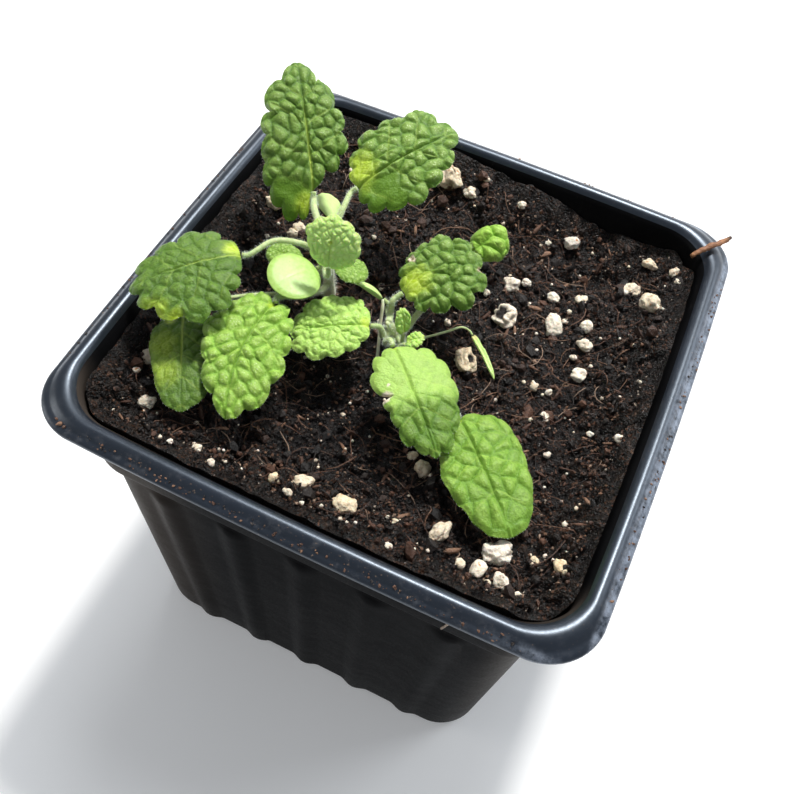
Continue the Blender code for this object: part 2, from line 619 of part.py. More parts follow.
def make_leaf(leaf, material):
    """A blade with like faces above and below, closed round its edge, and its petiole grown on at the base."""
    bm = bmesh.new()
    base, forward, right, face, length = blade_axes(leaf)
    top = []
    bottom = []
    for row in blade_rows(leaf, length):
        upper = []
        lower = []
        for along, across, lift in row:
            height = blade_lift(leaf, length, along, across) + lift
            aside = across + leaf.sway * max(0.0, bow(along / length))
            point = base + forward * along + right * aside + face * height
            upper.append(bm.verts.new(point + face * BLADE / 2))
            lower.append(bm.verts.new(point - face * BLADE / 2))
        top.append(upper)
        bottom.append(lower)
    wide = len(top[0])
    for i in range(len(top) - 1):
        for j in range(wide - 1):
            middle = j + 1 <= wide // 2
            corners = ((i, j), (i + 1, j), (i + 1, j + 1), (i, j + 1))
            split = (0, 1, 2, 0, 2, 3) if middle else (0, 1, 3, 1, 2, 3)
            for sheet, order in ((top, 1), (bottom, -1)):
                for k in (0, 3):
                    three = [corners[n] for n in split[k : k + 3]][::order]
                    bm.faces.new([sheet[a][b] for a, b in three])
        for j in (0, wide - 1):
            bm.faces.new((top[i][j], top[i + 1][j], bottom[i + 1][j], bottom[i][j]))
    for j in range(wide - 1):
        bm.faces.new((top[-1][j], top[-1][j + 1], bottom[-1][j + 1], bottom[-1][j]))

    path = petiole_path(leaf, base, forward, face)
    radii = [leaf.radius * (1.15 - 0.15 * i / (len(path) - 1)) for i in range(len(path))]
    rings = tube_rings(bm, path, radii, PETIOLE_SIDES, right)
    bm.faces.new(rings[0])
    for below, above in zip(rings, rings[1:]):
        link_rings(bm, below, above)
    mouth = top[0] + bottom[0][::-1]
    centre = base + face * blade_lift(leaf, length, 0.0, 0.0)

    def round_base(vert):
        off = vert.co - centre
        return polar_angle(off.dot(right), off.dot(face))

    def round_stalk(vert):
        off = vert.co - path[-1]
        return polar_angle(off.dot(right), off.dot(face))

    stitch(bm, rings[-1], mouth, [round_stalk(v) for v in rings[-1]], [round_base(v) for v in mouth])
    return make_object(leaf.name, bm, material)


def make_sliver(material):
    """A split piece of bark that lies over the bead at the right corner."""
    bm = bmesh.new()
    path = smooth_path(SLIVER, 2)
    radii = [0.35 + 0.45 * math.sin(math.pi * (i + 0.6) / len(path)) for i in range(len(path))]
    rings = tube_rings(bm, path, radii, 5, Vector((0, 1, 0)))
    for below, above in zip(rings, rings[1:]):
        link_rings(bm, below, above)
    bm.faces.new(rings[0])
    bm.faces.new(rings[-1])
    return make_object("bark_sliver", bm, material)


def main():
    for item in list(bpy.data.objects):
        bpy.data.objects.remove(item)
    black = make_material("black_plastic", (0.012, 0.013, 0.016), 0.35)
    earth = make_material("potting_mix", (0.035, 0.022, 0.015), 0.95)
    bark = make_material("bark", (0.22, 0.10, 0.04), 0.9)
    hairy = make_material("stem_green", (0.42, 0.48, 0.26), 0.8)
    make_pot(black)
    make_soil(earth, black)
    make_stem("stem_left", STEM_LEFT, hairy)
    make_stem("stem_right", STEM_RIGHT, hairy)
    for leaf in LEAVES:
        colour = make_material("leaf_%d" % round(leaf.colour[0] * 100), leaf.colour, 0.6)
        make_leaf(leaf, colour)
    make_sliver(bark)


main()
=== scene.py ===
import math
import random

import bmesh
import bpy
import numpy as np
from mathutils import Euler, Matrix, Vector, noise


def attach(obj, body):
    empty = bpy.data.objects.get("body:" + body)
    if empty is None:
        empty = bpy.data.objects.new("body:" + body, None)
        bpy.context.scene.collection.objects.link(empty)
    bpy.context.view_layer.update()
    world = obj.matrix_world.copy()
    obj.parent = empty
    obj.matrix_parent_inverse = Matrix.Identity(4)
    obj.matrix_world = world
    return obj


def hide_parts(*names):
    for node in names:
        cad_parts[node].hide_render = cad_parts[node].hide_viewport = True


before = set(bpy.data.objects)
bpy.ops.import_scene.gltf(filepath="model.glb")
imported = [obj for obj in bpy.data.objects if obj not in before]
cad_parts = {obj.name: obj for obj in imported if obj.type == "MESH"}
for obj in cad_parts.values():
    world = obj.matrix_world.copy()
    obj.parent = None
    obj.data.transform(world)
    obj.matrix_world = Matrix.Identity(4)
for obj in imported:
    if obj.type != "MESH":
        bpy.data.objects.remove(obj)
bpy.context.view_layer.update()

# The looks of a seedling in its square pot. All sizes are millimetres until a mesh is stored.

MM = 0.001

# Pot
WALL = 0.9
BASE_HALF = 36.5
SHOULDER_Z = 60.5
WALL_TOP_HALF = 39.0
COLLAR_HALF = 40.0
BASE_CORNER = 8.7
COLLAR_CORNER = 8.2
FOOT_FILLET = 2.5
RIM_BOW = 0.7
RIBS = 5
RIB_PITCH = 12.8
RIB_WIDTH = 5.4
RIB_FLANK = 3.1  # the ribs are soft waves
RIB_HEIGHT = 0.85
RIB_FADE = 2.2
SHOULDER_RISE = 2.6
COLLAR_TOP = 76.2
COLLAR_LEAN = 0.5
INSIDE_TOP = 78.9  # below this the inside of the rim is as matt as the wall
RIM = [
    (40.7, 8.9, 78.4), (41.5, 9.2, 78.9), (42.5, 9.2, 78.3), (43.2, 9.2, 78.1), (43.6, 9.2, 77.4),
    (44.3, 9.2, 77.5), (44.45, 9.2, 78.2), (44.1, 9.2, 78.65), (43.5, 9.2, 78.95), (43.2, 9.3, 79.25),
    (42.7, 9.4, 79.7), (42.0, 9.4, 79.95), (41.3, 9.3, 79.8), (40.8, 9.2, 79.3), (40.2, 9.0, 78.3),
]
CROSS_WIDTH = 19.0
CROSS_HEIGHT = 2.5
FLOOR = 1.0
DRAIN_RADIUS = 3.0
DRAIN_PLACE = 21.0
FAR = 45.0  # beyond the walls
POT_SHARP = 42  # degrees from which a turn shows as an edge
SOIL_SHARP = 60
CORNER_STEPS = 14

# Soil
SOIL_LEVEL = 72.3
SOIL_EDGE_RISE = 5.2
SOIL_EDGE_BAND = 9.0
SOIL_SWELLS = [
    (-4.0, -20.0, 6.5, -2.4), (24.0, 39.0, 8.0, -3.6), (-14.0, 34.0, 9.0, 1.6), (34.0, 12.0, 8.0, 1.0),
]
SOIL_ROUGHNESS = 0.75
SOIL_EDGE = 39.0
SOIL_CORNER = 7.0
SOIL_CELLS = 268  # squares along each side of the surface

# Plant
STEM_LEFT = [(-16.2, 2.5, 62.5), (-16.2, 2.5, 70.0), (-16.8, 2.4, 80.0), (-17.7, 1.9, 88.0)]
STEM_RIGHT = [(-0.2, -1.6, 62.5), (-0.2, -1.6, 70.0), (-0.8, -2.2, 75.0), (-3.0, -4.0, 80.2)]
STEM_RADIUS = 1.15
STEM_TAPER = 0.3
STEM_STEPS = 3
GAP = 0.3
PETIOLE_STUB = 1.0
PETIOLE_END = 1.5
PETIOLE_DIP = 0.5

# Perlite: where each grain lies, how wide it is and how tan (0 white, 1 tan)
GRAINS = [
    (-8.0, 35.6, 5.2, 0.7), (-3.4, 35.0, 2.6, 0.4), (17.3, 35.0, 3.4, 0.0), (11.0, 20.6, 3.2, 0.2),
    (12.7, 13.0, 4.4, 0.3), (20.9, 14.9, 3.9, 0.2), (10.2, 0.8, 4.2, 0.75), (12.2, -21.7, 3.0, 0.7),
    (18.7, -30.5, 3.6, 0.5), (27.5, -29.6, 4.2, 0.1), (26.0, -34.2, 2.9, 0.3), (29.6, -34.4, 2.7, 0.2),
    (-2.9, -33.0, 3.0, 0.6), (4.3, -33.6, 3.4, 0.8), (-34.8, -24.6, 3.0, 0.5), (-31.6, -31.2, 2.7, 0.3),
    (-34.4, 15.8, 3.4, 0.7), (30.9, 30.6, 3.4, 0.5), (34.6, 26.0, 3.6, 0.6), (28.0, 6.7, 2.8, 0.2),
    (23.5, 22.7, 2.8, 0.4), (36.4, -29.1, 2.4, 0.9), (-28.6, 14.4, 2.6, 0.6), (27.1, 12.9, 2.4, 0.3),
    (13.4, 33.4, 1.5, 0.1), (13.3, 22.4, 1.9, 0.1), (18.8, 21.0, 2.2, 0.2), (26.1, 17.1, 2.4, 0.2),
    (33.4, -4.0, 1.1, 0.1), (37.4, -4.9, 1.4, 0.2), (28.5, -10.4, 1.4, 0.3), (9.6, -20.0, 2.0, 0.7),
    (32.3, -35.6, 1.5, 0.2), (23.3, -34.6, 1.8, 0.5), (33.1, -29.0, 1.9, 0.8), (-3.6, -36.6, 1.5, 0.4),
    (-22.8, -37.4, 1.0, 0.1), (-19.2, -36.0, 1.6, 0.4), (-15.4, -38.0, 1.3, 0.2), (12.6, -32.2, 1.6, 0.6),
    (13.2, -37.6, 1.2, 0.2), (-28.9, 12.2, 2.1, 0.6), (-32.2, 8.8, 1.1, 0.1), (-25.4, 37.4, 2.8, 0.9),
    (-1.6, 38.0, 1.5, 0.4), (6.4, 36.4, 1.9, 0.3), (32.0, 36.2, 2.2, 0.6), (36.3, 35.4, 1.9, 0.4),
    (37.4, 32.0, 1.4, 0.2), (7.8, 16.3, 1.4, 0.2), (4.3, 6.9, 1.4, 0.3), (-9.1, 8.5, 1.4, 0.2),
    (22.0, 1.2, 1.8, 0.6), (24.8, 1.5, 1.4, 0.2), (25.9, -4.0, 2.1, 0.3), (-6.6, -35.0, 1.8, 0.9),
    (-35.2, -28.0, 1.2, 0.3), (26.2, 10.1, 1.1, 0.2), (15.6, 17.6, 1.0, 0.1), (22.4, 16.9, 1.2, 0.1),
]

# Grains with a hollow painted dark as shade: which one, the way it opens and how wide, then how much longer
# it is
HOLLOWS = {
    4: ((-0.62, 0.1, 0.72), 0.72, 1.1),
    6: ((0.5, -0.1, 0.85), 0.42, 1.45),
    0: ((0.3, 0.1, 0.95), 0.22, 1.1),
}
HOLLOW_TURN = 0.4  # the heading of those grains
DUST_GRAINS = 260  # white specks between the grains

SLIVER = [(37.6, 35.2, 79.9), (39.4, 37.2, 80.9), (41.2, 39.2, 81.2), (42.6, 41.4, 81.4)]

# Blades and their down
SPOKES = 260  # points round the edge of a large blade
RINGS = 48
BLADE_HALF = 0.17  # half the thickness of a blade
EDGE_THINNING = 0.55  # share of it lost at the edge
KEEL = 0.45  # how far the midrib stands out below
PETIOLE_SIDES = 10
DOWN_PER_MM = 42
PETIOLE_DOWN = 0.42  # lengths of the hairs
EDGE_DOWN = 0.26
STEM_DOWN = 0.62
STEM_HAIRS = 1000

# What a leaf has unless its row says otherwise. The outline runs through the crests of the lobes, given
# along and across the midrib from the base.
LEAF_DEFAULTS = {
    "roll": 0.0,  # degrees round the midrib
    "arch": 1.0,  # how far the midrib rises in its middle
    "cup": 0.0,  # how far the edges stand above the midrib
    "sway": 0.0,  # how far the midrib bows to the right
    "right": None,  # crests on each side, or None for an even leaf
    "left": None,
    "notch": 0.5,  # depth between the lobes
    "tears": (),  # where round the outline, how wide and how deep
    "cell": 1.8,  # width of the pillows between the veins
    "relief": 0.5,  # their height
    "jumble": 0.75,  # how far they stray from even rows
    "smooth_to": 0.0,  # up to this far along, the blade is smooth
    "smooth_side": 1.0,  # share of the relief that the right half keeps
    "flat_back": None,  # a flat shaded patch reaches this far from the base
    "flat_right": None,  # and one on the right this far along
    "midrib": 0.6,  # how pale the midrib is
    "side_veins": 1.0,  # how much the side veins show
    "lean": 0.6,  # angle of the side veins from square to the midrib
    "fan": 0.42,  # angle between the veins that spread from the base
    "glow": (0.0, 0.0, 0.8),  # along, across and reach of the yellow fan, partly the base's own yellow and partly painted glow of light through the blade
    "edge_glow": (),  # more painted glow of light through the blade: along, across, reach and strength
    "dry": (),  # dry spots: along, across and reach
    "pale": 0.0,  # 0: dry spots are brown, 1: cream
    "tone": 0.5,  # from deep green up to fresh green
    "lime": 0.0,  # how much of the bright lime of new growth
    "painted_sheen": 1.0,  # how strong the painted highlight and sheen on the crests are
    "hairs": 1.0,  # share of the down on the petiole
    "stalks": (),  # further bare stalks: path and radius
    "fine": 1.0,  # share of the points of a large blade
    "slot": "leaf",
}


class Leaf:
    """One leaf: where it is, its outline, its relief and what its surface shows."""

    def __init__(self, node, base, tip, half_width, stem, joint, route, radius, **more):
        self.node = node
        self.base = Vector(base)
        self.tip = Vector(tip)
        self.half_width = half_width
        self.stem = stem
        self.joint = joint
        self.route = route
        self.radius = radius
        for key, value in (LEAF_DEFAULTS | more).items():
            setattr(self, key, value)


LEAVES = [
    Leaf("leaf_left_tall", (-23.1, 8.8, 88.6), (-34.2, 24.1, 99.0), 7.5, STEM_LEFT, 87.2,
         [(-21.2, 5.6, 88.0)], 0.55, arch=1.6, cup=-1.2, notch=1.9, cell=2.1, relief=0.8,
         tone=-0.3, painted_sheen=0.8,
         right=[(15.9, 5.1), (11.3, 6.5), (6.6, 6.6), (3.0, 4.4), (0.9, 1.2)],
         left=[(16.3, 6.0), (11.5, 7.3), (7.1, 7.7), (2.6, 7.9), (-1.2, 6.8), (-4.1, 4.6), (-3.6, 1.2)],
         glow=(-2.0, -1.5, 2.6), flat_back=1.2, midrib=0.8),
    Leaf("leaf_left_back", (-16.8, 12.7, 89.0), (-5.9, 27.2, 94.2), 8.4, STEM_LEFT, 85.4,
         [(-17.3, 8.4, 87.8)], 0.48, roll=12, arch=1.5, cup=-1.0, notch=1.6, cell=2.2, relief=0.75,
         tone=0.1,
         right=[(15.2, 4.8), (11.9, 6.7), (7.2, 8.2), (3.2, 6.9), (-0.2, 4.9), (-0.9, 2.0)],
         left=[(15.7, 6.8), (9.8, 7.9), (5.2, 8.1), (1.0, 5.0), (-0.4, 2.4)],
         glow=(1.6, -2.2, 4.2), flat_right=4.6, midrib=0.2),
    Leaf("leaf_left_outer", (-26.6, -8.8, 88.0), (-39.3, -21.2, 85.0), 8.0, STEM_LEFT, 84.4,
         [(-20.4, -0.4, 86.0), (-23.4, -3.8, 88.2)], 0.45, arch=1.4, cup=-1.2, notch=1.9, cell=2.2,
         relief=0.55, tone=-0.4, painted_sheen=0.3, smooth_side=0.6, side_veins=0.65,
         edge_glow=[(15.5, -6.0, 3.4, 0.7), (12.5, -8.2, 2.2, 0.7)],
         right=[(15.9, 4.2), (11.4, 6.5), (6.3, 7.8), (2.6, 6.4), (0.2, 2.8)],
         left=[(17.2, 3.6), (13.9, 7.6), (8.9, 9.9), (4.4, 8.8), (1.4, 5.4), (0.5, 2.6)],
         glow=(0.8, 1.4, 2.3), midrib=0.45),
    Leaf("leaf_left_front", (-19.2, -11.4, 83.4), (-17.0, -31.1, 78.6), 7.3, STEM_LEFT, 76.2,
         [(-17.3, -6.0, 80.6)], 0.5, roll=-4, arch=1.8, cup=-1.4, sway=1.6, notch=1.5, cell=2.2, relief=0.8,
         tone=0.85, midrib=0.15,
         right=[(15.8, 4.6), (11.6, 6.0), (6.6, 7.7), (2.4, 6.6), (-0.3, 4.9), (-1.5, 2.7)],
         left=[(16.2, 5.5), (10.6, 7.2), (6.0, 6.4), (2.2, 4.6), (-0.3, 2.0)],
         glow=(0.6, 0.0, 1.0)),
    Leaf("leaf_left_old", (-32.6, -17.4, 79.4), (-23.8, -32.6, 77.6), 5.9, STEM_LEFT, 73.8,
         [(-26.8, -7.6, 77.0)], 0.34, roll=6, arch=0.8, cup=-0.5, notch=0.35, cell=1.7,
         relief=0.34, tone=-0.6, painted_sheen=0.3,
         edge_glow=[(6.0, 3.2, 4.0, 0.4), (11.0, 2.6, 3.6, 0.35)],
         right=[(16.2, 2.6), (13.1, 4.0), (9.5, 4.7), (5.8, 5.3), (3.0, 5.0), (0.6, 2.8)],
         left=[(16.0, 3.0), (12.6, 5.2), (8.6, 6.0), (4.6, 5.8), (1.2, 3.6)], fine=0.8,
         glow=(1.5, 2.0, 1.2), midrib=0.75),
    Leaf("leaf_left_young", (-13.4, -4.7, 88.2), (-14.3, -1.2, 96.0), 4.7, STEM_LEFT, 87.0,
         [(-15.4, -1.4, 86.7), (-14.2, -4.0, 85.9)], 0.5, arch=0.9, cup=-1.0, notch=0.8,
         cell=1.05, relief=0.34, tone=1.4, lime=0.95,
         right=[(7.6, 2.6), (5.7, 4.3), (3.2, 4.6), (1.0, 3.6), (-0.1, 1.4)],
         left=[(7.6, 2.6), (5.9, 4.2), (3.6, 3.7), (1.4, 2.9), (0.1, 1.2)], fine=0.8,
         glow=(4.5, 0.0, 0.5), midrib=0.1),
    Leaf("leaf_left_small", (-13.9, -1.3, 85.3), (-8.5, -0.1, 84.4), 3.4, STEM_LEFT, 84.0,
         [(-16.2, -1.1, 84.7)], 0.45, roll=-14, arch=0.6, cup=-0.6, notch=0.35, cell=0.8,
         relief=0.3, tone=0.4, fine=0.62),
    Leaf("leaf_left_side", (-20.2, -0.6, 81.4), (-26.6, -0.6, 81.8), 2.7, STEM_LEFT, 79.4,
         [(-18.0, 0.1, 80.2)], 0.4, arch=0.5, cup=-0.4, notch=0.35, cell=0.8,
         relief=0.3, tone=0.4, fine=0.6),
    Leaf("seed_leaf_left_round", (-16.6, -2.6, 84.4), (-20.6, -10.0, 85.2), 4.5, STEM_LEFT, 81.2,
         [(-15.9, -0.6, 83.2)], 0.4, roll=-8, arch=0.5, cup=-0.1, notch=0.0, cell=3.0,
         relief=0.03, fine=0.6, slot="seed_leaf", tone=0.0, hairs=0.4),
    Leaf("seed_leaf_left_back", (-19.9, 12.2, 80.2), (-24.6, 15.2, 82.0), 2.3, STEM_LEFT, 77.0,
         [(-19.0, 8.8, 79.0)], 0.4, roll=20, arch=0.1, cup=0.1, notch=0.3, cell=3.0, relief=0.06, fine=0.45,
         right=[(5.3, 1.5), (3.6, 2.4), (1.3, 1.7)], left=[(5.5, 1.3), (4.0, 2.4), (1.6, 1.9)],
         slot="seed_leaf", tone=1.0),
    Leaf("leaf_right_round", (-2.4, 0.6, 83.2), (6.2, 11.3, 86.0), 6.9, STEM_RIGHT, 79.7,
         [(-3.5, -1.2, 82.0)], 0.5, roll=6, arch=1.4, cup=-1.4, notch=1.6, cell=2.0, relief=0.85,
         tone=-0.25, painted_sheen=0.8, side_veins=0.0,
         right=[(12.2, 5.2), (7.9, 7.5), (3.2, 6.1), (0.4, 4.0), (-0.1, 1.2)],
         left=[(13.6, 3.2), (10.0, 7.0), (6.0, 6.5), (3.4, 5.4), (1.0, 3.8), (0.0, 1.4)],
         glow=(2.0, -0.2, 4.0), dry=[(12.6, 2.6, 0.6), (3.6, -4.4, 0.8)], midrib=0.1, fine=0.95),
    Leaf("leaf_right_left", (-4.9, -6.7, 81.2), (-15.9, -12.8, 79.6), 5.4, STEM_RIGHT, 78.2,
         [(-3.0, -5.6, 79.6)], 0.5, roll=-6, arch=0.8, cup=-1.0, notch=1.3, cell=1.45, relief=0.55,
         tone=1.4, lime=0.35,
         right=[(12.2, 2.2), (9.4, 5.9), (5.6, 7.0), (2.8, 6.5), (0.9, 5.4), (-0.2, 2.8)],
         left=[(12.4, 3.0), (9.2, 5.3), (5.4, 5.2), (2.3, 4.1), (0.2, 2.0)], fine=0.9,
         glow=(0.6, 0.5, 1.4), midrib=0.3),
    Leaf("leaf_right_front", (0.4, -9.2, 82.0), (13.9, -22.7, 79.0), 6.0, STEM_RIGHT, 76.8,
         [(-1.5, -7.8, 80.2)], 0.5, arch=1.2, cup=-1.0, notch=1.3, cell=2.4, relief=0.65,
         tone=0.75, midrib=0.12, jumble=0.5, pale=1.0, painted_sheen=0.45, lime=0.22, smooth_to=9.5,
         right=[(18.4, 1.7), (15.9, 4.0), (12.4, 4.6), (9.4, 4.9), (5.0, 5.5), (1.1, 3.6), (0.0, 1.4)],
         left=[(18.9, 2.4), (14.4, 5.8), (9.4, 7.4), (4.9, 7.4), (1.6, 5.6), (0.4, 2.2)],
         dry=[(6.4, 3.2, 0.5), (8.3, 4.3, 0.95)], tears=[(94, 8, 2.6)]),
    Leaf("leaf_right_lower", (13.9, -12.8, 76.0), (28.3, -27.9, 75.6), 6.4, STEM_RIGHT, 73.6,
         [(7.4, -8.4, 75.6)], 0.5, arch=1.3, cup=-0.8, notch=0.15, cell=2.9, relief=0.8,
         jumble=0.85, painted_sheen=0.5, side_veins=0.8,
         right=[(20.1, 2.4), (17.6, 4.3), (13.8, 5.6), (9.4, 6.4), (6.2, 5.6), (3.4, 4.2), (1.0, 2.0)],
         left=[(19.9, 3.3), (17.9, 4.9), (13.3, 6.7), (9.0, 7.4), (4.4, 7.5), (1.0, 6.2), (-0.3, 3.4)],
         glow=(0.4, 0.0, 0.5), midrib=0.05),
    Leaf("leaf_right_curled", (4.9, 17.6, 78.4), (6.4, 24.6, 80.6), 3.4, STEM_RIGHT, 76.4,
         [(0.4, 2.0, 78.6), (2.2, 8.6, 79.6)], 0.5, roll=10, arch=1.2, cup=-2.0, notch=0.3, cell=3.1,
         relief=1.1, tone=0.9, painted_sheen=0.6, side_veins=0.0, midrib=0.0, jumble=0.9, glow=(0.0, 0.0, 0.1),
         right=[(6.4, 1.6), (4.6, 3.0), (2.4, 2.9), (0.6, 1.4)],
         left=[(6.6, 2.0), (5.2, 3.5), (3.4, 3.9), (1.4, 2.9), (0.3, 1.2)], fine=0.62,
         dry=[(5.2, 3.3, 0.5), (3.4, 3.9, 0.5)]),
    Leaf("seed_leaf_right_narrow", (-5.7, 0.3, 80.2), (-11.0, -0.5, 82.0), 2.0, STEM_RIGHT, 77.6,
         [(-4.6, -0.2, 78.6)], 0.4, roll=42, arch=0.3, cup=0.4, notch=0.0, cell=3.0, relief=0.03, fine=0.45,
         slot="seed_leaf", tone=0.8, hairs=0.3,
         stalks=[([(-5.6, 0.1, 80.1), (-5.2, -0.7, 79.3), (-4.8, -1.9, 77.5), (-4.2, -3.4, 75.5),
                   (-3.2, -5.8, 72.6), (-2.9, -6.6, 71.2)], 0.28)]),
    Leaf("seed_leaf_right_withered", (9.4, 5.3, 73.9), (15.9, -1.4, 73.9), 0.9, STEM_RIGHT, 73.8,
         [(4.9, 3.6, 73.9), (6.9, 5.9, 73.9)], 0.2, arch=0.6, cup=0.2, notch=0.25, cell=0.9, relief=0.16,
         fine=0.5, slot="seed_leaf", hairs=0.0, dry=[(0.4, 0.0, 1.0)],
         right=[(8.0, 0.4), (6.0, 0.5), (4.0, 0.45), (2.0, 0.55), (0.6, 0.45)],
         left=[(8.2, 0.35), (6.4, 0.45), (4.2, 0.55), (2.4, 0.45), (0.8, 0.5)]),
    Leaf("leaf_right_tip_back", (0.2, -4.4, 79.6), (-1.2, -3.6, 84.4), 1.5, STEM_RIGHT, 77.0,
         [(0.4, -4.6, 77.4)], 0.4, arch=0.3, notch=0.8, cell=0.8, relief=0.3, fine=0.5, tone=1.4, lime=0.5),
    Leaf("leaf_right_tip_front", (1.2, -5.8, 79.4), (4.0, -5.2, 81.4), 1.7, STEM_RIGHT, 75.8,
         [(0.3, -5.8, 77.6)], 0.4, arch=0.3, notch=0.8, cell=0.8, relief=0.3, fine=0.5, tone=1.4, lime=0.5),
]


# Noise for whole arrays of points


def lattice(ix, iy, iz, seed):
    """A fixed random number from -1 to 1 for each whole place."""
    h = (ix * 374761393 + iy * 668265263 + iz * 1103515245 + seed * 1274126177) & 0xFFFFFFFF
    h = ((h ^ (h >> 13)) * 1274126177) & 0xFFFFFFFF
    h = ((h ^ (h >> 15)) * 2246822519) & 0xFFFFFFFF
    return ((h ^ (h >> 16)) & 0xFFFFFF) / 0x800000 - 1.0


def value_noise(x, y, z=0.0, seed=0):
    """Smooth noise from -1 to 1."""
    x, y, z = np.broadcast_arrays(np.asarray(x, float), np.asarray(y, float), np.asarray(z, float))
    ix, iy, iz = (np.floor(a).astype(np.int64) for a in (x, y, z))
    fx, fy, fz = x - ix, y - iy, z - iz
    fx, fy, fz = (f * f * (3 - 2 * f) for f in (fx, fy, fz))
    total = np.zeros_like(x)
    for dx, wx in ((0, 1 - fx), (1, fx)):
        for dy, wy in ((0, 1 - fy), (1, fy)):
            for dz, wz in ((0, 1 - fz), (1, fz)):
                total += wx * wy * wz * lattice(ix + dx, iy + dy, iz + dz, seed)
    return total


def fractal(x, y, z=0.0, seed=0, octaves=3):
    """Noise with finer noise on it."""
    total = 0.0
    for octave in range(octaves):
        k = 2.03**octave
        place = (np.asarray(part) * k for part in (x, y, z))
        total = total + value_noise(*place, seed + octave) / k
    return total


def cells(u, v, seed, jitter=0.8):
    """Distances to the nearest and second nearest scattered points, and a random number for the nearest."""
    u, v = np.broadcast_arrays(np.asarray(u, float), np.asarray(v, float))
    iu = np.floor(u).astype(np.int64)
    iv = np.floor(v).astype(np.int64)
    first = np.full(u.shape, 9.0)
    second = np.full(u.shape, 9.0)
    label = np.zeros(u.shape)
    for du in (-1, 0, 1):
        for dv in (-1, 0, 1):
            cu, cv = iu + du, iv + dv
            pu = cu + 0.5 + lattice(cu, cv, 0, seed) * 0.5 * jitter
            pv = cv + 0.5 + lattice(cu, cv, 7, seed) * 0.5 * jitter
            distance = np.hypot(u - pu, v - pv)
            closer = distance < first
            second = np.where(closer, first, np.minimum(second, distance))
            label = np.where(closer, lattice(cu, cv, 13, seed), label)
            first = np.where(closer, distance, first)
    return first, second, label


def ramp(x, low, high):
    """A smooth step from 0 to 1."""
    t = np.clip((np.asarray(x, float) - low) / (high - low), 0.0, 1.0)
    return t * t * (3 - 2 * t)


# Meshes from arrays

NO_FACES = np.zeros((0, 3), np.int64)


def link_object(name, mesh):
    """Puts a mesh in the scene."""
    made = bpy.data.objects.new(name, mesh)
    bpy.context.scene.collection.objects.link(made)
    return made


def store_values(mesh, values):
    """Keeps a number for each point of a mesh, for its material to read."""
    for key, value in values.items():
        layer = mesh.attributes.new(key, "FLOAT", "POINT")
        layer.data.foreach_set("value", value.astype(np.float32))


def fan_faces(middle, corners, order=1):
    """Triangles from one point to a closed ring."""
    return np.stack([np.full(len(corners), middle), corners, np.roll(corners, -1)], 1)[:, ::order]


class Build:
    """Gathers points and faces in millimetres, with a material number and values for the materials."""

    def __init__(self):
        self.points = []
        self.faces = []
        self.kinds = []
        self.values = {}
        self.count = 0

    def add(self, points, faces=NO_FACES, kind=0, **values):
        """Adds points, and faces that count from the first of them."""
        points = np.asarray(points, float).reshape(-1, 3)
        start = self.count
        self.points.append(points)
        self.join(np.asarray(faces, np.int64) + start, kind)
        for name in self.values | values:
            done = self.values.setdefault(name, [])
            have = sum(len(a) for a in done)
            if have < start:
                done.append(np.zeros(start - have))
            value = np.broadcast_to(np.asarray(values.get(name, 0.0), float), (len(points),))
            done.append(np.array(value))
        self.count += len(points)

    def join(self, faces, kind=0):
        """Adds faces between points that are there already."""
        self.faces.append(faces)
        self.kinds.append(np.full(len(faces), kind, np.int32))

    def make(self, name, materials, smooth=True):
        """Stores everything as one object in metres."""
        points = np.concatenate(self.points)
        mesh = bpy.data.meshes.new(name)
        mesh.vertices.add(len(points))
        mesh.vertices.foreach_set("co", (points * MM).astype(np.float32).ravel())
        loops = np.concatenate([f.ravel() for f in self.faces])
        sizes = np.concatenate([np.full(len(f), f.shape[1]) for f in self.faces])
        mesh.loops.add(len(loops))
        mesh.loops.foreach_set("vertex_index", loops.astype(np.int32))
        mesh.polygons.add(len(sizes))
        starts = np.concatenate(([0], np.cumsum(sizes)[:-1]))
        mesh.polygons.foreach_set("loop_start", starts.astype(np.int32))
        mesh.polygons.foreach_set("material_index", np.concatenate(self.kinds))
        mesh.polygons.foreach_set("use_smooth", np.full(len(sizes), smooth))
        for material in materials:
            mesh.materials.append(material)
        values = {}
        for key, parts in self.values.items():
            value = np.concatenate(parts)
            values[key] = np.concatenate((value, np.zeros(len(points) - len(value))))
        store_values(mesh, values)
        mesh.update(calc_edges=True)
        mesh.validate()
        return link_object(name, mesh)


def grid_faces(rows, columns, closed=False, start=0):
    """Quads of a grid of points stored row by row; closed joins the last column to the first."""
    i = np.arange(rows - 1)[:, None]
    j = np.arange(columns if closed else columns - 1)[None, :]
    k = (j + 1) % columns
    a = i * columns + j
    b = i * columns + k
    c = (i + 1) * columns + k
    d = (i + 1) * columns + j
    return np.stack([a + 0 * j, b + 0 * i, c + 0 * i, d + 0 * j], -1).reshape(-1, 4) + start


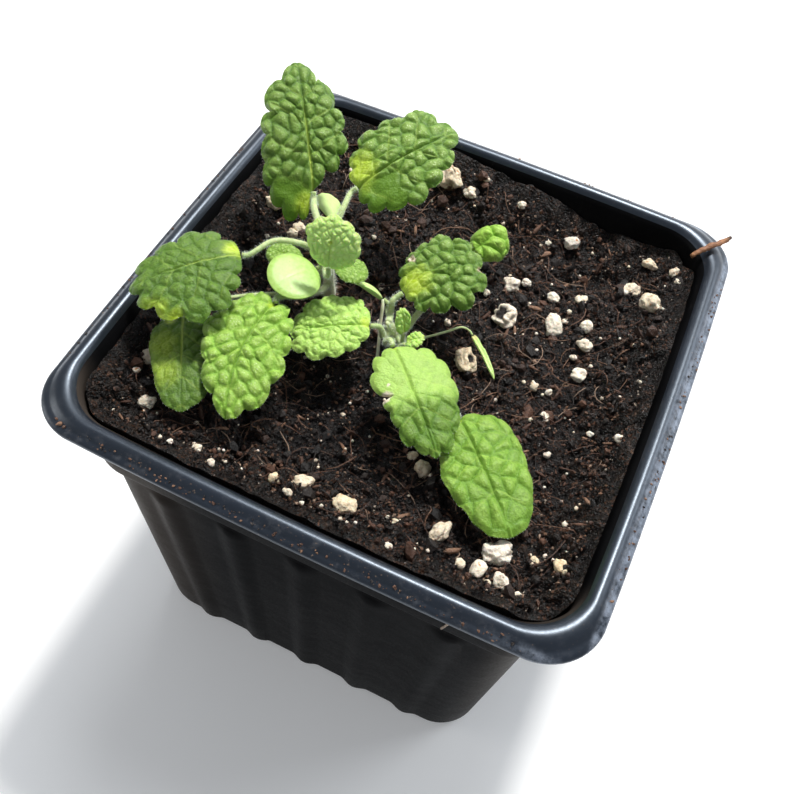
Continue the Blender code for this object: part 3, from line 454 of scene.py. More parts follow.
def tube(build, path, radii, sides, sideways, kind=0, bumps=0.0, seed=0, **values):
    """A round tube along a path of points, closed at both ends."""
    path = [Vector(p) for p in path]
    rings = []
    across = Vector(sideways)
    for i in reversed(range(len(path))):
        along = (path[min(i + 1, len(path) - 1)] - path[max(i - 1, 0)]).normalized()
        across = (across - along * across.dot(along)).normalized()
        upward = across.cross(along).normalized()
        ring = []
        for side in range(sides):
            turn = math.tau * (side + 0.5) / sides
            out = across * math.cos(turn) + upward * math.sin(turn)
            ring.append(path[i] + out * radii[i])
        rings.append(ring)
    rings = rings[::-1]
    points = np.array([[tuple(p) for p in ring] for ring in rings]).reshape(-1, 3)
    if bumps:
        centre = np.repeat(np.array([tuple(p) for p in path]), sides, axis=0)
        scale = 1 + bumps * value_noise(points[:, 0] * 2.1, points[:, 1] * 2.1, points[:, 2] * 2.1, seed)
        points = centre + (points - centre) * scale[:, None]
    faces = grid_faces(len(path), sides, closed=True)[:, ::-1]
    build.add(points, faces, kind, **values)
    first = build.count - len(points)
    for ring, order in ((0, 1), (len(path) - 1, -1)):
        corners = first + ring * sides + np.arange(sides)
        middle = build.count
        first_values = {key: np.ravel(value)[0] for key, value in values.items()}
        build.add(np.array(path[ring])[None, :], kind=kind, **first_values)
        build.join(fan_faces(middle, corners, order), kind)


def smooth_path(points, steps):
    """Evenly taken points of a Catmull-Rom curve through the given ones."""
    points = [Vector(point) for point in points]
    ends = [points[0] * 2 - points[1]] + points + [points[-1] * 2 - points[-2]]
    path = []
    for i in range(len(points) - 1):
        a, b, c, d = ends[i : i + 4]
        for step in range(steps):
            t = step / steps
            path.append(0.5 * (2 * b + (c - a) * t + (2 * a - 5 * b + 4 * c - d) * t**2
                               + (3 * b - a - 3 * c + d) * t**3))
    path.append(points[-1])
    return path


# Materials


class Shader:
    """A small helper that adds nodes to a material."""

    def __init__(self, name):
        self.material = bpy.data.materials.new(name)
        self.material.use_nodes = True
        self.tree = self.material.node_tree
        self.surface = self.tree.nodes["Principled BSDF"]
        self.place = self.node("ShaderNodeTexCoord").outputs["Object"]

    def node(self, kind, **settings):
        made = self.tree.nodes.new(kind)
        for key, value in settings.items():
            setattr(made, key, value)
        return made

    def link(self, source, target):
        self.tree.links.new(source, target)

    def set(self, **values):
        for key, value in values.items():
            self.surface.inputs[key.replace("_", " ")].default_value = value

    def value(self, name):
        return self.node("ShaderNodeAttribute", attribute_name=name).outputs["Fac"]

    def noise(self, per_mm, detail=3.0, rough=0.55, stretch=None, distortion=0.0):
        made = self.node("ShaderNodeTexNoise")
        made.inputs["Scale"].default_value = per_mm / MM
        made.inputs["Detail"].default_value = detail
        made.inputs["Roughness"].default_value = rough
        made.inputs["Distortion"].default_value = distortion
        source = self.place
        if stretch:
            mapping = self.node("ShaderNodeMapping")
            mapping.inputs["Scale"].default_value = stretch
            self.link(self.place, mapping.inputs["Vector"])
            source = mapping.outputs["Vector"]
        self.link(source, made.inputs["Vector"])
        return made.outputs["Fac"]

    def voronoi(self, per_mm):
        made = self.node("ShaderNodeTexVoronoi")
        made.inputs["Scale"].default_value = per_mm / MM
        self.link(self.place, made.inputs["Vector"])
        return made.outputs["Distance"]

    def span(self, source, low, high, to_low=0.0, to_high=1.0):
        made = self.node("ShaderNodeMapRange")
        made.clamp = True
        self.link(source, made.inputs["Value"])
        made.inputs["From Min"].default_value = low
        made.inputs["From Max"].default_value = high
        made.inputs["To Min"].default_value = to_low
        made.inputs["To Max"].default_value = to_high
        return made.outputs["Result"]

    def ramp(self, source, stops):
        made = self.node("ShaderNodeValToRGB")
        elements = made.color_ramp.elements
        while len(elements) < len(stops):
            elements.new(0.5)
        for element, (position, colour) in zip(elements, stops):
            element.position = position
            element.color = (*colour, 1.0)
        self.link(source, made.inputs["Fac"])
        return made.outputs["Color"]

    def fill(self, socket, value):
        """Links a socket, or sets its colour or number."""
        if isinstance(value, bpy.types.NodeSocket):
            self.link(value, socket)
        else:
            socket.default_value = (*value, 1.0) if isinstance(value, tuple) else value

    def mix(self, factor, first, second, blend="MIX"):
        made = self.node("ShaderNodeMix", data_type="RGBA", blend_type=blend)
        for index, value in ((0, factor), (6, first), (7, second)):
            self.fill(made.inputs[index], value)
        return made.outputs[2]

    def fade(self, source, low, high, first, second):
        """One colour that turns into another as a value rises from low to high."""
        return self.mix(self.span(source, low, high), first, second)

    def maths(self, operation, first, second):
        made = self.node("ShaderNodeMath", operation=operation)
        for socket, value in zip(made.inputs, (first, second)):
            self.fill(socket, value)
        return made.outputs[0]

    def part(self, source, share):
        """A share of a value, or of the mesh's own value with that name."""
        return self.maths("MULTIPLY", self.value(source) if isinstance(source, str) else source, share)

    def bump(self, height, strength, distance_mm, under=None):
        made = self.node("ShaderNodeBump")
        made.inputs["Strength"].default_value = strength
        made.inputs["Distance"].default_value = distance_mm * MM
        self.link(height, made.inputs["Height"])
        if under is not None:
            self.link(under, made.inputs["Normal"])
        return made.outputs["Normal"]

    def finish(self, colour=None, roughness=None, normal=None):
        for source, name in ((colour, "Base Color"), (roughness, "Roughness"), (normal, "Normal")):
            if source is not None:
                self.link(source, self.surface.inputs[name])
        return self.material


def leaf_material(name, through):
    """Hairy green blade: pale veins near the base, a yellow fan partly painted as glow, dry spots, painted
    highlights and sheen on the crests, and painted shade in the creases and flat patches.
    """
    s = Shader(name)
    fine = s.noise(2.2, 5.0, 0.65)
    broad = s.noise(0.16, 2.0)
    green = s.fade(fine, 0.36, 0.66, (0.060, 0.140, 0.006), (0.120, 0.245, 0.015))
    fresh = s.fade(fine, 0.36, 0.66, (0.24, 0.45, 0.030), (0.40, 0.64, 0.095))
    age = s.maths("ADD", s.value("tone"), s.part(broad, 0.3))
    deep = s.fade(fine, 0.36, 0.66, (0.038, 0.092, 0.004), (0.078, 0.165, 0.009))
    green = s.fade(age, -0.6, 0.1, deep, green)
    colour = s.fade(age, 0.3, 1.25, green, fresh)
    colour = s.mix(s.value("lime"), colour, (0.60, 0.80, 0.26))
    # painted highlight: the crests of the pillows are lighter
    colour = s.mix(s.part("crest", 0.40), colour, (0.40, 0.55, 0.14), "LIGHTEN")
    # painted sheen: pale specks at the tops of the crests
    peak = s.span(s.value("crest"), 0.6, 0.9)
    painted_sheen = s.maths("MULTIPLY", peak, s.span(s.voronoi(2.6), 0.40, 0.12))
    colour = s.mix(s.part(painted_sheen, 0.5), colour, (0.68, 0.82, 0.44), "LIGHTEN")
    # painted shade in the creases between the pillows
    colour = s.mix(s.part("painted_crease_shade", 0.9), colour, (0.58, 0.72, 0.48), "MULTIPLY")
    colour = s.mix(s.part("shade", 0.55), colour, (0.12, 0.24, 0.012))
    # the yellow fan: the base's own yellow, with painted glow of light shining through the blade
    colour = s.mix(s.part("glow", 0.8), colour, (0.42, 0.56, 0.015))
    colour = s.mix(s.value("vein"), colour, (0.58, 0.72, 0.14))
    speck = s.span(s.noise(2.6, 2.0), 0.71, 0.76)
    colour = s.mix(s.part(speck, 0.3), colour, (0.06, 0.09, 0.02))
    dry = s.fade(fine, 0.42, 0.6, (0.26, 0.15, 0.08), (0.74, 0.66, 0.50))
    dry = s.mix(s.value("pale"), dry, (0.66, 0.58, 0.44))
    colour = s.mix(s.value("dry"), colour, dry)
    roughness = s.span(fine, 0.3, 0.7, 0.35, 0.55)
    down = s.bump(s.noise(6.0, 4.0, 0.7), 0.5, 0.14)
    normal = s.bump(s.voronoi(3.2), 0.45, 0.14, down)
    s.set(Subsurface_Weight=through, Subsurface_Scale=0.5 * MM, Sheen_Weight=0.12, Sheen_Roughness=0.45,
          Specular_IOR_Level=0.32, Sheen_Tint=(0.85, 1.0, 0.75, 1.0), Subsurface_Radius=(0.6, 1.0, 0.2))
    return s.finish(colour, roughness, normal)


def seed_leaf_material():
    """Smooth lime blade of the first leaves, paler as its tone goes up."""
    s = Shader("seed_leaf_lime")
    fine = s.noise(1.2, 3.0)
    colour = s.fade(fine, 0.35, 0.65, (0.31, 0.50, 0.085), (0.41, 0.60, 0.150))
    colour = s.mix(s.part("tone", 0.7), colour, (0.66, 0.84, 0.33))
    speck = s.span(s.noise(2.1, 1.0), 0.73, 0.77)
    colour = s.mix(s.part(speck, 0.4), colour, (0.10, 0.12, 0.03))
    colour = s.mix(s.part("dry", 0.8), colour, (0.62, 0.56, 0.22))
    roughness = s.span(fine, 0.3, 0.7, 0.36, 0.52)
    normal = s.bump(s.noise(4.0, 3.0), 0.3, 0.08)
    s.set(Subsurface_Weight=0.2, Subsurface_Scale=0.6 * MM, Subsurface_Radius=(0.6, 1.0, 0.3))
    s.set(Sheen_Weight=0.12)
    return s.finish(colour, roughness, normal)


def stalk_material():
    """Pale hairy green of the petioles and stems."""
    s = Shader("stalk_pale")
    fine = s.noise(1.4, 3.0, stretch=(1.0, 1.0, 0.5))
    colour = s.fade(fine, 0.35, 0.68, (0.26, 0.40, 0.09), (0.50, 0.62, 0.26))
    colour = s.mix(s.value("pale"), colour, (0.84, 0.83, 0.58))
    roughness = s.span(fine, 0.3, 0.7, 0.5, 0.7)
    normal = s.bump(s.noise(6.0, 3.0), 0.4, 0.12)
    s.set(Subsurface_Weight=0.15, Subsurface_Scale=0.6 * MM, Sheen_Weight=0.5, Sheen_Roughness=0.4)
    return s.finish(colour, roughness, normal)


def hair_material():
    """White down."""
    s = Shader("down_white")
    colour = s.mix(s.noise(3.0), (0.80, 0.86, 0.72), (0.92, 0.94, 0.88))
    s.set(Sheen_Weight=0.3, Subsurface_Weight=0.1, Subsurface_Scale=0.2 * MM)
    return s.finish(colour, s.span(s.noise(5.0), 0.3, 0.7, 0.35, 0.6))


def soil_material():
    """Moist peat: near black, with brown crumbs and reddish fibre dust, and wet glints."""
    s = Shader("peat")
    crumbs = s.noise(0.75, 6.0, 0.7)
    grain = s.maths("ADD", s.part(crumbs, 0.75), s.part(s.noise(3.2, 3.0), 0.25))
    colour = s.ramp(grain, [
        (0.36, (0.002, 0.002, 0.002)), (0.50, (0.007, 0.005, 0.004)),
        (0.60, (0.038, 0.021, 0.013)), (0.68, (0.22, 0.120, 0.072)),
    ])
    colour = s.fade(s.noise(1.7, 3.0, distortion=1.0), 0.58, 0.68, colour, (0.14, 0.056, 0.028))
    colour = s.mix(s.part("shade", 0.92), colour, (0.003, 0.002, 0.002))
    roughness = s.span(s.noise(2.4, 3.0), 0.35, 0.65, 0.22, 0.65)
    rough = s.bump(s.noise(1.3, 6.0, 0.75), 1.0, 0.9)
    normal = s.bump(s.voronoi(2.6), 0.9, 0.4, rough)
    s.set(Specular_IOR_Level=0.4)
    return s.finish(colour, roughness, normal)


def crumb_material():
    """Loose crumbs, fibres and chips, from black through brown to tan by their own tone."""
    s = Shader("crumbs")
    fine = s.noise(2.6, 4.0)
    colour = s.ramp(s.value("tone"), [
        (0.0, (0.004, 0.003, 0.003)), (0.35, (0.018, 0.010, 0.007)), (0.6, (0.125, 0.052, 0.028)),
        (0.8, (0.31, 0.165, 0.095)), (1.0, (0.66, 0.56, 0.44)),
    ])
    colour = s.fade(fine, 0.3, 0.75, s.mix(0.55, colour, (0.006, 0.004, 0.003)), colour)
    roughness = s.span(fine, 0.3, 0.7, 0.25, 0.7)
    normal = s.bump(s.noise(3.6, 5.0, 0.7), 0.9, 0.3)
    return s.finish(colour, roughness, normal)


def perlite_material():
    """White to cream crumbly grains with soil dust in patches, painted shade low on each grain and in their
    hollows.
    """
    s = Shader("perlite")
    fine = s.noise(1.3, 5.0, 0.65)
    colour = s.fade(fine, 0.35, 0.65, (0.70, 0.61, 0.48), (0.90, 0.85, 0.76))
    tan = s.fade(fine, 0.35, 0.65, (0.54, 0.38, 0.20), (0.80, 0.67, 0.45))
    colour = s.mix(s.value("tone"), colour, tan)
    # soil dust in random patches, and painted shade on the lower part of each grain
    dirt_and_shade = s.maths("ADD", s.noise(0.9, 4.0, 0.7), s.part("shade", 0.5))
    colour = s.fade(dirt_and_shade, 0.56, 0.74, colour, (0.10, 0.055, 0.03))
    colour = s.fade(s.noise(0.8, 2.0), 0.66, 0.74, colour, (0.46, 0.20, 0.07))
    # painted shade inside the hollows
    colour = s.fade(s.value("hole"), 0.12, 0.5, colour, (0.012, 0.007, 0.005))
    roughness = s.span(fine, 0.3, 0.7, 0.65, 0.9)
    pits = s.bump(s.noise(2.6, 4.0, 0.7), 0.5, 0.3)
    normal = s.bump(s.voronoi(2.4), 0.5, 0.2, pits)
    s.set(Subsurface_Weight=0.1, Subsurface_Scale=0.4 * MM)
    return s.finish(colour, roughness, normal)


def pot_wall_material():
    """Black moulded plastic of the walls, with faint scuffs and a painted brownish reflection at the left
    end and the right corner of the front.
    """
    s = Shader("pot_wall_black")
    grain = s.noise(2.5, 3.0)
    colour = s.fade(s.noise(0.05, 2.0), 0.35, 0.65, (0.004, 0.004, 0.0045), (0.007, 0.007, 0.0075))
    scuffs = s.span(s.noise(0.35, 5.0, 0.75, stretch=(1.0, 1.0, 0.12), distortion=0.6), 0.62, 0.74)
    colour = s.mix(s.part(scuffs, 0.25), colour, (0.050, 0.044, 0.040))
    specks = s.span(s.noise(1.6, 3.0), 0.74, 0.78)
    colour = s.mix(s.part(specks, 0.4), colour, (0.10, 0.08, 0.06))
    # painted reflection: brownish at the left end and the right corner of the front wall
    colour = s.mix(s.part("painted_side_reflection", 0.8), colour, (0.050, 0.040, 0.033))
    waves = s.bump(s.noise(0.12, 2.0), 0.25, 0.8)
    normal = s.bump(grain, 0.15, 0.05, waves)
    s.set(Specular_IOR_Level=0.015)
    return s.finish(colour, s.span(grain, 0.3, 0.7, 0.34, 0.46), normal)


def pot_rim_material():
    """The glossier rim: black with a painted bluish sky reflection, soil dust in small specks on its lip,
    and a painted bluish highlight with soil specks on the lip of the right side.
    """
    s = Shader("pot_rim_black")
    grain = s.noise(2.5, 3.0)
    dust = s.maths("MULTIPLY", s.value("dust"), s.span(s.noise(0.45, 6.0, 0.75), 0.52, 0.72))
    specks = s.maths("MULTIPLY", s.value("dust"), s.span(s.noise(2.2, 3.0), 0.66, 0.71))
    # near black, its blue tint a painted sky reflection
    colour = s.fade(s.noise(0.08, 2.0), 0.35, 0.65, (0.007, 0.009, 0.013), (0.012, 0.015, 0.022))
    colour = s.mix(s.part(dust, 0.28), colour, (0.20, 0.19, 0.19))
    colour = s.mix(s.part(specks, 0.7), colour, (0.26, 0.17, 0.11))
    # painted bluish highlight on the lip of the right side
    right_lip_highlight_and_soil = s.maths("MULTIPLY", s.value("right_lip_highlight_and_soil"), s.span(s.noise(0.6, 5.0, 0.7), 0.36, 0.62))
    colour = s.mix(s.part(right_lip_highlight_and_soil, 0.55), colour, (0.36, 0.39, 0.45))
    # soil specks in the same place
    soiled = s.maths("MULTIPLY", s.value("right_lip_highlight_and_soil"), s.span(s.noise(1.1, 4.0, 0.7), 0.60, 0.66))
    colour = s.mix(soiled, colour, (0.014, 0.010, 0.008))
    roughness = s.span(s.maths("ADD", grain, s.part(dust, 0.4)), 0.3, 1.1, 0.31, 0.5)
    waves = s.bump(s.noise(0.12, 2.0), 0.2, 0.6)
    normal = s.bump(grain, 0.12, 0.05, waves)
    s.set(Coat_Weight=0.3, Coat_Roughness=0.34, Coat_Tint=(0.72, 0.84, 1.0, 1.0))
    s.set(Specular_IOR_Level=0.65, Specular_Tint=(0.76, 0.87, 1.0, 1.0))
    return s.finish(colour, roughness, normal)


def bark_material():
    """Split orange-brown bark, dark at its tip."""
    s = Shader("bark")
    streaks = s.noise(1.2, 5.0, 0.65, stretch=(0.5, 0.5, 2.5))
    colour = s.fade(streaks, 0.35, 0.65, (0.15, 0.055, 0.022), (0.42, 0.20, 0.09))
    colour = s.mix(s.value("shade"), colour, (0.03, 0.015, 0.01))
    normal = s.bump(streaks, 0.8, 0.3)
    return s.finish(colour, s.span(streaks, 0.3, 0.7, 0.5, 0.8), normal)


# Pot


def rib_height(along, share):
    """How far the ribs stand out of a side at a place along it, with rounded shoulders."""
    nearest = max(-(RIBS // 2), min(RIBS // 2, round(along / RIB_PITCH)))
    off = abs(along - nearest * RIB_PITCH)
    rise = (RIB_WIDTH / 2 + 0.9 - off) / RIB_FLANK
    return share * RIB_HEIGHT * float(ramp(rise, 0.0, 1.1))


def side_stops():
    """Places along one side of the pot: close together at the flanks of the ribs."""
    stops = []
    for rib in range(-(RIBS // 2), RIBS // 2 + 1):
        middle = rib * RIB_PITCH
        for off in (0.0, 0.6, 1.1, 1.6, 2.1, 2.6, 3.1, 3.5, 4.0, 5.2):
            stops.extend((middle - off, middle + off) if off else (middle,))
    return sorted(stops)


SIDE_STOPS = side_stops()


def square_ring(half, radius, z, ribs, bow):
    """Points of a rounded square, anticlockwise from its +X side."""
    side = []
    corner = half - radius
    last = SIDE_STOPS[-1]
    for stop in SIDE_STOPS:
        along = stop * min(1.0, corner / last)
        out = half + rib_height(stop, ribs) + bow * (1 - (along / half) ** 2)
        side.append((out, along))
    for step in range(1, CORNER_STEPS + 1):
        turn = math.pi / 2 * step / (CORNER_STEPS + 1)
        swell = bow * (1 - (corner / half) ** 2)
        side.append((corner + swell + radius * math.cos(turn), corner + swell + radius * math.sin(turn)))
    points = []
    for quarter in range(4):
        c = round(math.cos(quarter * math.pi / 2))
        s = round(math.sin(quarter * math.pi / 2))
        points.extend((x * c - y * s, x * s + y * c, z) for x, y in side)
    return points


def wall_half(z):
    """Half the width of the plain wall at a height, outside."""
    return BASE_HALF + (WALL_TOP_HALF - BASE_HALF) * z / SHOULDER_Z


def pot_section():
    """The pot's section, out and up, over the rim and down inside, with rounded turns."""
    top = COLLAR_HALF + COLLAR_LEAN
    collar_foot = SHOULDER_Z + SHOULDER_RISE
    rib_end = SHOULDER_Z - 1.2
    rib_top = rib_end - RIB_FADE
    outer = []
    for step in range(5):
        turn = math.pi / 2 * step / 4
        inset = FOOT_FILLET * (1 - math.sin(turn))
        outer.append((wall_half(FOOT_FILLET) - inset, BASE_CORNER - inset * 0.8,
                      FOOT_FILLET * (1 - math.cos(turn)), 0.6 + 0.1 * step, 0.0))
    for z in (12.0, 22.0, 32.0, 42.0, 50.0, rib_top - 1.0):
        corner = BASE_CORNER + (COLLAR_CORNER - BASE_CORNER) * z / SHOULDER_Z
        outer.append((wall_half(z), corner, z, 1.0, 0.0))
    for step in range(6):
        share = step / 5
        z = rib_top + (rib_end - rib_top) * share
        outer.append((wall_half(z), COLLAR_CORNER, z, 1 - share**2, 0.0))
    for share in (0.0, 0.2, 0.4, 0.6, 0.8, 1.0):
        lift = float(ramp(share, 0.0, 1.0))
        half = wall_half(SHOULDER_Z) + (COLLAR_HALF - wall_half(SHOULDER_Z)) * lift
        z = SHOULDER_Z + SHOULDER_RISE * share
        outer.append((half, COLLAR_CORNER - 0.6 * lift, z, 0.0, 0.1 + 0.2 * share))
    for share in (0.3, 0.6, 0.9):
        half = COLLAR_HALF + COLLAR_LEAN * share
        z = collar_foot + (COLLAR_TOP - collar_foot) * share
        outer.append((half, COLLAR_CORNER - 0.6 + 0.6 * share, z, 0.0, 0.3 + (RIM_BOW - 0.3) * share))
    outer.append((top, COLLAR_CORNER, COLLAR_TOP, 0.0, RIM_BOW))
    rim = [Vector(p) for p in RIM]
    path = smooth_path(rim, 3)
    rim_rings = [(p.x, p.y, p.z, 0.0, RIM_BOW) for p in path]
    inner = [
        (top - WALL, COLLAR_CORNER - WALL, COLLAR_TOP, 0.0, RIM_BOW),
        (COLLAR_HALF - WALL + 0.1, COLLAR_CORNER - 0.6 - WALL, collar_foot + 4.0, 0.0, 0.45),
        (COLLAR_HALF - WALL, COLLAR_CORNER - 0.6 - WALL, collar_foot - 0.3, 0.0, 0.3),
        (wall_half(SHOULDER_Z) - WALL, COLLAR_CORNER - WALL, SHOULDER_Z - 0.3, 0.0, 0.1),
        (wall_half(30.0) - WALL, COLLAR_CORNER - WALL, 30.0, 0.0, 0.0),
        (wall_half(FOOT_FILLET) - WALL, BASE_CORNER - WALL, FOOT_FILLET + 0.4, 0.0, 0.0),
        (BASE_HALF - FOOT_FILLET - 0.4, BASE_CORNER - 2.4, FLOOR, 0.0, 0.0),
    ]
    return outer + rim_rings + inner


def cutter(name, low, high):
    """A block for cutting the pot."""
    bm = bmesh.new()
    bmesh.ops.create_cube(bm, size=1.0)
    for vert in bm.verts:
        vert.co = Vector([(a + b) / 2 + v * (b - a) for a, b, v in zip(low, high, vert.co)]) * MM
    return stored(name, bm)


def rod(name, place, radius, low, high):
    """A round bar for cutting the drain holes."""
    bm = bmesh.new()
    bmesh.ops.create_cone(bm, cap_ends=True, segments=32, radius1=radius * MM, radius2=radius * MM,
                          depth=(high - low) * MM)
    for vert in bm.verts:
        vert.co += Vector((place[0], place[1], (low + high) / 2)) * MM
    return stored(name, bm)


def stored(name, bm):
    """A cutting shape as an object."""
    mesh = bpy.data.meshes.new(name)
    bm.to_mesh(mesh)
    bm.free()
    return link_object(name, mesh)


def boolean(target, other, operation):
    """Applies one cut or join and removes the tool."""
    modifier = target.modifiers.new("cut", "BOOLEAN")
    modifier.operation = operation
    modifier.solver = "EXACT"
    modifier.object = other
    graph = bpy.context.evaluated_depsgraph_get()
    made = bpy.data.meshes.new_from_object(target.evaluated_get(graph))
    target.modifiers.clear()
    old = target.data
    target.data = made
    bpy.data.meshes.remove(old)
    bpy.data.objects.remove(other)


def make_pot(material, rim_material):
    """The pot, ring by ring from its section, with the raised cross and drain holes in its floor."""
    build = Build()
    rings = [square_ring(*part) for part in pot_section()]
    count = len(rings[0])
    points = np.array(rings).reshape(-1, 3)
    build.add(points, grid_faces(len(rings), count, closed=True))
    for ring, order in ((0, -1), (len(rings) - 1, 1)):
        centre = np.array([[0.0, 0.0, rings[ring][0][2]]])
        corners = ring * count + np.arange(count)
        middle = build.count
        build.add(centre)
        build.join(fan_faces(middle, corners, order))
    pot = build.make("pot_shell", [material])
    reach = BASE_HALF - WALL + 0.15
    arm = CROSS_WIDTH / 2 + WALL
    roof = CROSS_HEIGHT + WALL
    low = FLOOR - 0.2
    boolean(pot, cutter("cross_x", (-reach, -arm, low), (reach, arm, roof)), "UNION")
    boolean(pot, cutter("cross_y", (-arm, -reach, low), (arm, reach, roof)), "UNION")
    arm = CROSS_WIDTH / 2
    boolean(pot, cutter("channel_x", (-FAR, -arm, -1.0), (FAR, arm, CROSS_HEIGHT)), "DIFFERENCE")
    boolean(pot, cutter("channel_y", (-arm, -FAR, -1.0), (arm, FAR, CROSS_HEIGHT)), "DIFFERENCE")
    for place in [(0, 0), (DRAIN_PLACE, 0), (-DRAIN_PLACE, 0), (0, DRAIN_PLACE), (0, -DRAIN_PLACE)]:
        boolean(pot, rod("drain", place, DRAIN_RADIUS, 0.5, roof + 1.0), "DIFFERENCE")
    mesh = pot.data
    mesh.materials.clear()
    mesh.materials.append(material)
    mesh.materials.append(rim_material)
    kinds = []
    for face in mesh.polygons:
        inward = face.normal.xy.dot(face.center.xy) < -0.45 * face.center.xy.length
        kinds.append(1 if face.center.z > ((INSIDE_TOP if inward else COLLAR_TOP) + 0.1) * MM else 0)
    mesh.polygons.foreach_set("material_index", kinds)
    mesh.polygons.foreach_set("use_smooth", np.full(len(mesh.polygons), True))
    mesh.set_sharp_from_angle(angle=math.radians(POT_SHARP))
    co = np.empty(len(mesh.vertices) * 3, np.float32)
    mesh.vertices.foreach_get("co", co)
    co = co.reshape(-1, 3) / MM
    half = np.maximum(np.abs(co[:, 0]), np.abs(co[:, 1]))
    dust = ramp(co[:, 2], 76.8, 78.6) * (0.25 + 0.75 * ramp(half, 42.6, 43.6))
    on_front = ramp(-co[:, 1], 30.0, 36.0)
    # painted reflection at the left end and the right corner of the front wall
    painted_side_reflection = on_front * (ramp(-co[:, 0], 16.0, 34.0) + 0.7 * ramp(co[:, 0], 30.0, 38.0))
    # the lip of the right side, where it gets a painted highlight and soil specks
    right_lip_highlight_and_soil = ramp(half, 42.9, 43.7) * ramp(co[:, 2], 76.8, 78.0) * ramp(co[:, 0], 26.0, 42.0)
    values = {"dust": dust, "painted_side_reflection": painted_side_reflection, "right_lip_highlight_and_soil": right_lip_highlight_and_soil}
    store_values(mesh, {key: np.clip(value, 0, 1) for key, value in values.items()})
    return pot


# Soil


def soil_base(x, y):
    """The height of the soil without its crumbs."""
    edge = max(0.0, max(abs(x), abs(y)) - (BASE_HALF + 2 - SOIL_EDGE_BAND)) / SOIL_EDGE_BAND
    height = SOIL_LEVEL + SOIL_EDGE_RISE * edge**1.6
    for middle_x, middle_y, spread, rise in SOIL_SWELLS:
        height += rise * math.exp(-((x - middle_x) ** 2 + (y - middle_y) ** 2) / (2 * spread**2))
    height += SOIL_ROUGHNESS * noise.noise(Vector((x * 0.21, y * 0.21, 1.7)))
    height += SOIL_ROUGHNESS * 0.7 * noise.noise(Vector((x * 0.47, y * 0.47, 5.1)))
    return height


def soil_relief(x, y):
    """Clods and crumbs on the soil, and how deep in a hollow each point is."""
    warp_x = x + 0.9 * value_noise(x * 0.5, y * 0.5, 0.0, 31)
    warp_y = y + 0.9 * value_noise(x * 0.5, y * 0.5, 9.0, 32)
    rise = np.zeros(np.shape(x))
    for size, height, seed, share in ((3.4, 1.0, 41, 0.2), (1.7, 0.75, 42, 0.1), (0.85, 0.48, 43, 0.0)):
        first, _, label = cells(warp_x / size, warp_y / size, seed, 0.95)
        dome = np.sqrt(np.clip(1 - (first / 0.75) ** 2, 0, 1))
        there = ramp(label, share - 0.6, share + 0.3)
        rise += height * dome * there * (0.6 + 0.5 * label)
    rise += 0.35 * fractal(x * 0.8, y * 0.8, 3.0, 51, 3)
    return rise - 0.75


def rounded(x, y, half, radius):
    """Moves points of a square sheet on to a sheet with rounded corners."""
    reach = np.maximum(np.abs(x), np.abs(y))
    turn = np.arctan2(y, x)
    c, s = np.abs(np.cos(turn)), np.abs(np.sin(turn))
    square = 1 / np.maximum(np.maximum(c, s), 1e-9)
    corner = (half - radius) / half
    curved = radius / half
    along = corner * (c + s)
    arc = along + np.sqrt(np.maximum(along**2 - 2 * corner**2 + curved**2, 0.0))
    in_corner = (c * square > corner) & (s * square > corner)
    scale = np.where(in_corner, arc / square, 1.0)
    blend = ramp(reach, 0.5, 1.0)
    scale = 1 + (scale - 1) * blend
    return x * half * scale, y * half * scale


